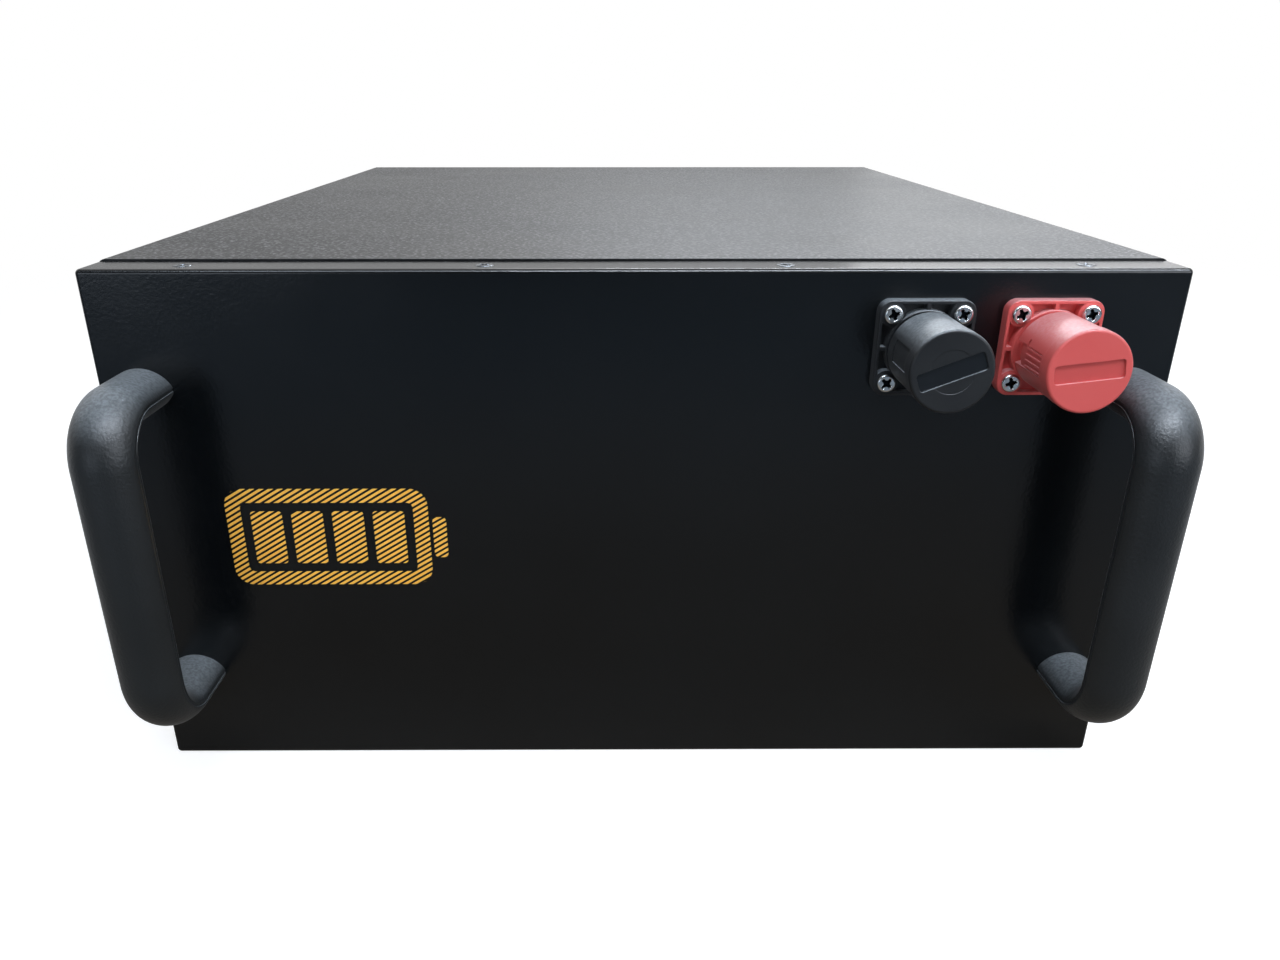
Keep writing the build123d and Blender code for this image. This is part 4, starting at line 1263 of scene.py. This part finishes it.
    def build(self) -> None:
        """Grow every set of screws."""
        flat, black = HeadForm.COUNTERSUNK, Slot.BLACK_SCREW
        panel = CrossHeadScrews("panel_screw_set", "panel_screws", flat, black, shank_l=self.short)
        cover = CrossHeadScrews("cover_screw_set", "cover_screws", flat, black, shank_l=self.short)
        terminal = CrossHeadScrews("terminal_screw_set", "terminal_screws", HeadForm.PAN, Slot.ZINC_SCREW)
        recipe = panel.recipe()
        panel.build(recipe, self.panel_places())
        cover.build(recipe, self.cover_places())
        terminal.build(recipe, self.terminal_places())


# ---------------------------------------------------------------- handles


@dataclass
class Handles:
    """Moulded U handles: one lens-shaped section swept along a bent path.

    Attributes:
        width: Section across, mm.
        thick: Section through, mm.
        flat: Height of the parting edge, mm.
        edge: Parting edge from the crown to the seam, as how far each point is in from the widest place
            and below the edge's top, mm.
        crown_steps: Steps over the crown.
        bend_r: Bend radius of the path, mm.
        bend_steps: Steps around a bend.
    """

    width: float = 26.0
    thick: float = 18.0
    flat: float = 2.4
    edge: tuple[tuple[float, float], ...] = ((0.12, -0.05), (0.0, 0.2), (0.0, 0.35), (0.1, 0.57), (0.3, 0.65))
    crown_steps: int = 36
    bend_r: float = 20.0
    bend_steps: int = 28

    def section(self) -> list[tuple[float, float]]:
        """Draw the section, front face up.

        Returns:
            Its ring of points, mm.
        """
        half_w, half_t, half_flat = self.width / 2, self.thick / 2, self.flat / 2
        rise = half_t - half_flat
        arc_r = (half_w**2 + rise**2) / (2 * rise)
        spread = math.asin(half_w / arc_r)
        crown = []
        for i in range(1, self.crown_steps):
            turn = spread * (1 - 2 * i / self.crown_steps)
            crown.append((arc_r * math.sin(turn), half_t - arc_r + arc_r * math.cos(turn)))
        edge = [(half_w - inset, half_flat - down) for inset, down in self.edge]
        upper = [*reversed(edge), *crown, *[(-x, z) for x, z in edge]]
        lower = [(x, -z) for x, z in reversed(upper)]
        return upper + lower

    def recipe(self) -> Recipe:
        """Make the tree that sweeps a section along the U.

        Returns:
            The tree, which both handles share.
        """
        made = Recipe("u_handle")
        tree = made.tree
        foot_x = made.need("Foot X")
        face_y = made.need("Face Y")
        middle_z = made.need("Middle Z")
        pitch = made.need("Foot Pitch")
        reach = made.need("Reach")
        bend_r = made.need("Bend Radius")

        # Four corners, numbered 0 to 3: the lower foot, two corners out in front, and the upper foot.
        # 1.5 lies in the middle of those numbers, and only the two in front are within 0.6 of it.
        line = add(tree, "GeometryNodeMeshLine", {"Count": 4})
        number = add(tree, "GeometryNodeInputIndex")
        front = add(tree, "ShaderNodeMath", {0: number, 1: 1.5, 2: 0.6}, operation="COMPARE")
        upper = add(tree, "ShaderNodeMath", {0: number, 1: 1.5}, operation="GREATER_THAN")
        out = add(tree, "ShaderNodeMath", {0: front, 1: reach}, operation="MULTIPLY")
        y = add(tree, "ShaderNodeMath", {0: face_y, 1: out}, operation="SUBTRACT")
        side = add(tree, "ShaderNodeMath", {0: upper, 1: 0.5}, operation="SUBTRACT")
        rise = add(tree, "ShaderNodeMath", {0: side, 1: pitch}, operation="MULTIPLY")
        z = add(tree, "ShaderNodeMath", {0: rise, 1: middle_z}, operation="ADD")
        point = add(tree, "ShaderNodeCombineXYZ", {"X": foot_x, "Y": y, "Z": z})
        corners = add(tree, "GeometryNodeSetPosition", {"Geometry": line, "Position": point})
        path = add(tree, "GeometryNodeMeshToCurve", {"Mesh": corners})
        bend = {"Curve": path, "Radius": bend_r, "Count": self.bend_steps}
        bent = add(tree, "GeometryNodeFilletCurve", bend, mode="POLY")
        ring = add(tree, "GeometryNodeMeshToCurve", {"Mesh": made.source.outputs[0]})
        body = add(tree, "GeometryNodeCurveToMesh", {"Curve": bent, "Profile Curve": ring, "Fill Caps": True})
        made.close(body)
        return made

    def build(self) -> None:
        """Sweep both handles."""
        recipe = self.recipe()
        face_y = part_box("front_panel")[0].y
        ring = [Vector((x * MM, z * MM, 0)) for x, z in self.section()]
        edges = [(i, (i + 1) % len(ring)) for i in range(len(ring))]
        for node in ("left_handle", "right_handle"):
            low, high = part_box(node)
            thing = new_thing(f"{node}_grip", ring, edges)
            recipe.settle(
                thing,
                {
                    "Foot X": (low.x + high.x) / 2,
                    "Face Y": face_y,
                    "Middle Z": (low.z + high.z) / 2,
                    "Foot Pitch": high.z - low.z - self.thick * MM,
                    "Reach": face_y - low.y - self.thick / 2 * MM,
                    "Bend Radius": self.bend_r * MM,
                    "Material": FINISHES[Slot.HANDLE_PLASTIC].material(),
                },
            )
            tidy_mesh(thing)
            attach(thing, "case")
            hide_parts(node)
            log.info("built %s", thing.name)


# ---------------------------------------------------------------- the printed mark


@dataclass
class LevelMark:
    """A plain battery-level picture printed on the panel in slanting strokes.

    Attributes:
        middle_x: Middle of the mark from the panel's middle, mm.
        middle_z: Height of the mark's middle, mm.
        length: Length of the cell's outline, mm.
        height: Height of the cell's outline, mm.
        wall: Thickness of the outline, mm.
        corner: Outer corner radius, mm.
        inner_corner: Inner corner radius, mm.
        corner_steps: Steps around a corner.
        bars: Number of level bars.
        bar_corner: Corner radius of a bar, mm.
        gap: Gap between the bars and the outline, mm.
        nub_w: Width of the nub at the cell's end, mm.
        nub_share: Height of the nub, as a share of the cell's.
        nub_corner: Corner radius of the nub, mm.
        nub_gap: Gap between the cell and its nub, mm.
        pitch: Spacing of the strokes, mm.
        stroke: Width of a stroke, mm.
        slant: Angle of the strokes, degrees.
        reach: How far from the mark's middle strokes are drawn, mm.
        on_cut: Distance from a stroke's edge at which a point counts as on it, mm.
        ink: Thickness of the ink, mm.
    """

    middle_x: float = -133.5
    middle_z: float = 114.5
    length: float = 88.0
    height: float = 46.0
    wall: float = 6.5
    corner: float = 8.0
    inner_corner: float = 8.0 / 3
    corner_steps: int = 8
    bars: int = 4
    bar_corner: float = 1.5
    gap: float = 4.0
    nub_w: float = 6.0
    nub_share: float = 0.42
    nub_corner: float = 2.0
    nub_gap: float = 1.6
    pitch: float = 2.1
    stroke: float = 1.15
    slant: float = 31.0
    reach: float = 80.0
    on_cut: float = 1e-5
    ink: float = 0.05

    def rounded(
        self, form: bmesh.types.BMesh, x: float, w: float, h: float, r: float
    ) -> list[bmesh.types.BMVert]:
        """Draw the corner points of a rounded rectangle at the mark's height.

        Args:
            form: Mesh that gets the points.
            x: Middle across, mm.
            w: Width, mm.
            h: Height, mm.
            r: Corner radius, mm.

        Returns:
            The ring of vertices.
        """
        ring = []
        for cx, cz, start in ((1, 1, 0), (-1, 1, 90), (-1, -1, 180), (1, -1, 270)):
            for i in range(self.corner_steps + 1):
                turn = math.radians(start + 90 * i / self.corner_steps)
                px = x + cx * (w / 2 - r) + r * math.cos(turn)
                pz = self.middle_z + cz * (h / 2 - r) + r * math.sin(turn)
                ring.append(form.verts.new((px, 0, pz)))
        return ring

    def draw_cell(self, form: bmesh.types.BMesh) -> None:
        """Draw the outline, the level bars and the nub as flat faces.

        Args:
            form: Mesh that gets them, in mm.
        """
        x = self.middle_x
        inner_l, inner_h = self.length - 2 * self.wall, self.height - 2 * self.wall
        outer = self.rounded(form, x, self.length, self.height, self.corner)
        inner = self.rounded(form, x, inner_l, inner_h, self.inner_corner)
        for i, (out_vert, in_vert) in enumerate(zip(outer, inner)):
            j = (i + 1) % len(outer)
            form.faces.new((out_vert, outer[j], inner[j], in_vert))
        room = inner_l - 2 * self.gap
        bar_w = (room - (self.bars - 1) * self.gap) / self.bars
        for i in range(self.bars):
            bar_x = x - room / 2 + bar_w / 2 + i * (bar_w + self.gap)
            form.faces.new(self.rounded(form, bar_x, bar_w, inner_h - 2 * self.gap, self.bar_corner))
        nub_x = x + self.length / 2 + self.nub_gap + self.nub_w / 2
        form.faces.new(self.rounded(form, nub_x, self.nub_w, self.height * self.nub_share, self.nub_corner))

    def hatch(self, form: bmesh.types.BMesh) -> None:
        """Cut the faces along the slanting strokes and drop what lies between them.

        Args:
            form: Mesh of the cell, in mm.
        """
        lean = math.radians(self.slant)
        across = Vector((-math.sin(lean), 0, math.cos(lean)))
        middle = Vector((self.middle_x, 0, self.middle_z))
        steps = int(self.reach / self.pitch)
        for i in range(-steps, steps + 1):
            for edge in (-self.stroke / 2, self.stroke / 2):
                bmesh.ops.bisect_plane(
                    form,
                    geom=[*form.verts, *form.edges, *form.faces],
                    plane_co=middle + across * (i * self.pitch + edge),
                    plane_no=across,
                    dist=self.on_cut,
                )
        gone = []
        for face in form.faces:
            step = (face.calc_center_median() - middle).dot(across) / self.pitch
            if abs(step - round(step)) * self.pitch > self.stroke / 2:
                gone.append(face)
        bmesh.ops.delete(form, geom=gone, context="FACES")

    def build(self) -> None:
        """Print the mark on the front panel."""
        form = bmesh.new()
        self.draw_cell(form)
        self.hatch(form)
        raised = bmesh.ops.extrude_face_region(form, geom=list(form.faces))
        lifted = [item for item in raised["geom"] if isinstance(item, bmesh.types.BMVert)]
        bmesh.ops.translate(form, verts=lifted, vec=(0, -self.ink, 0))
        bmesh.ops.scale(form, vec=(MM, MM, MM), verts=form.verts)
        bmesh.ops.translate(form, vec=(0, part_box("front_panel")[0].y, 0), verts=form.verts)
        bmesh.ops.recalc_face_normals(form, faces=form.faces)
        thing = new_thing("level_mark")
        form.to_mesh(thing.data)
        form.free()
        thing.data.materials.append(MARK_INK.material())
        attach(thing, "case")
        log.info("printed %s", thing.name)


# ---------------------------------------------------------------- studio


@dataclass(frozen=True)
class Lamp:
    """A soft rectangular lamp that looks at a point.

    Attributes:
        name: Lamp name.
        place: Where it hangs, m.
        aim: What it looks at, m.
        size: Width and height, m.
        power: Power, W.
        tint: Colour, sRGB hex.
        glint: Whether only mirrors see it, as a thin strip that draws highlights and adds no light.
    """

    name: str
    place: tuple[float, float, float]
    aim: tuple[float, float, float]
    size: tuple[float, float]
    power: float
    tint: str = "#ffffff"
    glint: bool = False

    def hang(self) -> None:
        """Hang the lamp in the scene."""
        data = bpy.data.lights.new(self.name, "AREA")
        data.shape = "RECTANGLE"
        data.size, data.size_y = self.size
        data.energy = self.power
        data.color = linear(self.tint)[:3]
        lamp = new_object(self.name, data)
        lamp.visible_diffuse = not self.glint
        lamp.location = self.place
        lamp.rotation_euler = (Vector(self.aim) - Vector(self.place)).to_track_quat("-Z", "Y").to_euler()


@dataclass
class Studio:
    """Pale floor, soft lamps and the camera.

    Attributes:
        room_tone: Colour of the room's even light, sRGB hex.
        ambient: Strength of that light.
        front_dim: Strength of the dim room in front, as a mirror sees it.
        wall_depths: Depths between which the wall behind gets bright to a mirror, as a direction's Y.
        wall_foot: Brightness of the foot of that wall.
        wall_high: Height at which it is all lit, as a direction's Z.
        floor_half: Half the floor's side, m.
        floor_depths: Depths between which the floor gets bright to a mirror, m.
        floor_white: Distances from the middle between which the floor turns to plain white, m.
        floor_tone: Colour of the floor near the object, sRGB hex.
        floor_lift: Light that the floor adds to the eye there.
        bounce_range: Distances between which the light off the floor turns from warm to cool, m.
        bounce_tones: Its warm and its cool colour, sRGB hex.
        lens_mm: Focal length.
        sensor_mm: Width of the sensor.
        clip: Nearest and farthest distance that the camera sees, m.
        camera_place: Where the camera stands, m.
        pitch_down: How far it looks down, degrees.
        yaw_right: How far it is turned to the right, degrees.
        shift: Its lens shift, as shares of the picture's width.
        lamps: The lamps.
    """

    room_tone: str = "#f4f6f8"
    ambient: float = 0.3
    front_dim: float = 0.1
    wall_depths: tuple[float, float] = (-0.35, 0.3)
    wall_foot: float = 0.2
    wall_high: float = 0.45
    floor_half: float = 14.0
    floor_depths: tuple[float, float] = (-0.4, 0.4)
    floor_white: tuple[float, float] = (0.7, 1.6)
    floor_tone: str = "#c8c8c8"
    floor_lift: float = 0.7
    bounce_range: tuple[float, float] = (0.4, 1.1)
    bounce_tones: tuple[str, str] = ("#857a6c", "#6f7a84")
    lens_mm: float = 28.022
    sensor_mm: float = 36.0
    clip: tuple[float, float] = (0.02, 60.0)
    camera_place: tuple[float, float, float] = (-0.01057, -0.67562, 0.29447)
    pitch_down: float = 24.198
    yaw_right: float = 0.289
    shift: tuple[float, float] = (0.0204, 0.04456)
    lamps: tuple[Lamp, ...] = (
        Lamp("overhead_lamp", (0.1, -0.85, 1.25), (0.02, -0.25, 0.15), (1.6, 0.3), 14.0, "#e4f0ff"),
        Lamp("rear_high_lamp", (0.4, 1.2, 1.3), (0.1, -0.2, 0.2), (1.4, 0.4), 10.0, "#f2f4f8"),
        Lamp("rear_right_lamp", (1.5, 2.0, 0.5), (0.1, -0.1, 0.2), (1.8, 0.9), 4.5, "#f8f9fb"),
        Lamp("front_lamp", (1.2, -1.5, 0.75), (0.0, -0.2, 0.12), (1.2, 0.8), 13.2, "#eef5ff"),
        Lamp("front_left_lamp", (-1.1, -1.9, 0.35), (-0.1, -0.2, 0.2), (0.9, 0.6), 3.6, "#e4f0ff"),
        Lamp("rear_strip", (0.55, 1.2, 1.15), (0.1, -0.25, 0.23), (1.2, 0.07), 9.0, "#eef5ff", True),
        Lamp("front_strip", (0.35, -0.85, 1.3), (0.05, -0.27, 0.23), (1.2, 0.06), 18.0, "#eef5ff", True),
    )

    def seen(self, tree: Tree, depths: tuple[float, float], high: float = 0.0) -> Node:
        """Tell the rays that see the plain background: the camera's, those of glass and those of a mirror.

        The studio is dim in front of the object, so a mirror ray sees the background only towards the rear.

        Args:
            tree: Tree of the world or of the floor.
            depths: Depths at which a mirror ray sees nothing of the background and all of it.
            high: Height at which the wall behind is all lit, or 0 where it is as bright at its foot.

        Returns:
            Node whose first output is 1 for such a ray.
        """
        rays = add(tree, "ShaderNodeLightPath")
        place = add(tree, "ShaderNodeTexCoord").outputs["Object"]
        part = add(tree, "ShaderNodeSeparateXYZ", {"Vector": place})
        fade = {"Value": part.outputs["Y"], "From Min": depths[0], "From Max": depths[1]}
        rear = add(tree, "ShaderNodeMapRange", fade, interpolation_type="SMOOTHSTEP")
        if high > 0:
            climb = {"Value": part.outputs["Z"], "From Max": high, "To Min": self.wall_foot}
            lit = add(tree, "ShaderNodeMapRange", climb)
            rear = add(tree, "ShaderNodeMath", {0: rear, 1: lit}, operation="MULTIPLY")
        eye, shine, glass = (
            rays.outputs[name] for name in ("Is Camera Ray", "Is Glossy Ray", "Is Transmission Ray")
        )
        mirror = add(tree, "ShaderNodeMath", {0: shine, 1: rear}, operation="MULTIPLY")
        either = add(tree, "ShaderNodeMath", {0: eye, 1: mirror}, operation="MAXIMUM")
        return add(tree, "ShaderNodeMath", {0: either, 1: glass}, operation="MAXIMUM")

    def world(self) -> None:
        """Make an even room with a white background."""
        world = bpy.data.worlds.new("plain_room")
        bpy.context.scene.world = world
        tree = empty_tree(world)
        shine = add(tree, "ShaderNodeLightPath").outputs["Is Glossy Ray"]
        dim = {"Value": shine, "To Min": self.ambient, "To Max": self.front_dim}
        level = add(tree, "ShaderNodeMapRange", dim)
        room = add(tree, "ShaderNodeBackground", {"Color": linear(self.room_tone), "Strength": level})
        white = add(tree, "ShaderNodeBackground", {"Color": WHITE, "Strength": 1.0})
        shown = self.seen(tree, self.wall_depths, self.wall_high)
        mix = add(tree, "ShaderNodeMixShader", {0: shown, 1: room, 2: white})
        add(tree, "ShaderNodeOutputWorld", {"Surface": mix})

    def floor(self) -> None:
        """Lay the pale floor, white to the eye except where the object shades it."""
        half = self.floor_half
        corners = [(-half, -half, 0), (half, -half, 0), (half, half, 0), (-half, half, 0)]
        thing = new_thing("floor", [Vector(corner) for corner in corners], faces=[(0, 1, 2, 3)])
        made = bpy.data.materials.new("pale_floor")
        tree = empty_tree(made)
        place = add(tree, "ShaderNodeTexCoord").outputs["Object"]
        away = add(tree, "ShaderNodeVectorMath", {0: place}, operation="LENGTH").outputs["Value"]
        start, end = self.floor_white
        blend = {"Value": away, "From Min": start, "From Max": end}
        far = add(tree, "ShaderNodeMapRange", blend, interpolation_type="SMOOTHSTEP")
        pale = add(tree, "ShaderNodeBsdfDiffuse", {"Color": linear(self.floor_tone)})
        lift = add(tree, "ShaderNodeEmission", {"Color": WHITE, "Strength": self.floor_lift})
        near = add(tree, "ShaderNodeAddShader", {0: pale, 1: lift})
        white = add(tree, "ShaderNodeEmission", {"Color": WHITE, "Strength": 1.0})
        shown = add(tree, "ShaderNodeMixShader", {0: far, 1: near, 2: white})
        start, end = self.bounce_range
        tone = add(tree, "ShaderNodeMapRange", {"Value": away, "From Min": start, "From Max": end})
        warm, cool = (linear(code) for code in self.bounce_tones)
        shade = add(tree, "ShaderNodeMix", {0: tone, 6: warm, 7: cool}, data_type="RGBA")
        plain = add(tree, "ShaderNodeBsdfDiffuse", {"Color": shade.outputs[2]})
        mix = add(tree, "ShaderNodeMixShader", {0: self.seen(tree, self.floor_depths), 1: plain, 2: shown})
        add(tree, "ShaderNodeOutputMaterial", {"Surface": mix})
        thing.data.materials.append(made)

    def camera(self) -> None:
        """Stand the camera close in front of the box, looking down on its panel."""
        data = bpy.data.cameras.new("camera")
        data.sensor_fit = "HORIZONTAL"
        data.sensor_width = self.sensor_mm
        data.lens = self.lens_mm
        data.shift_x, data.shift_y = self.shift
        data.clip_start, data.clip_end = self.clip
        camera = new_object("camera", data)
        camera.location = self.camera_place
        camera.rotation_euler = (math.radians(90 - self.pitch_down), 0.0, -math.radians(self.yaw_right))
        bpy.context.scene.camera = camera

    def build(self) -> None:
        """Set up the room, the lamps and the camera."""
        self.world()
        self.floor()
        for lamp in self.lamps:
            lamp.hang()
        self.camera()
        bpy.context.scene.view_settings.view_transform = "Standard"
        log.info("set up the studio")


def clear_defaults() -> None:
    """Remove what a new file holds besides the frame."""
    kept = {*frame["nodes"].values(), *frame["bodies"].values()}
    for thing in list(bpy.data.objects):
        if thing not in kept:
            bpy.data.objects.remove(thing)


def main() -> None:
    """Build the looks of the battery box in order."""
    logging.basicConfig(level=logging.INFO, format="%(name)s: %(message)s")
    clear_defaults()
    Studio().build()
    Case().dress()
    GapShadeStrip().build()
    Fasteners().build()
    Handles().build()
    LevelMark().build()
    log.info("sizes written")


if __name__ == "__main__":
    main()
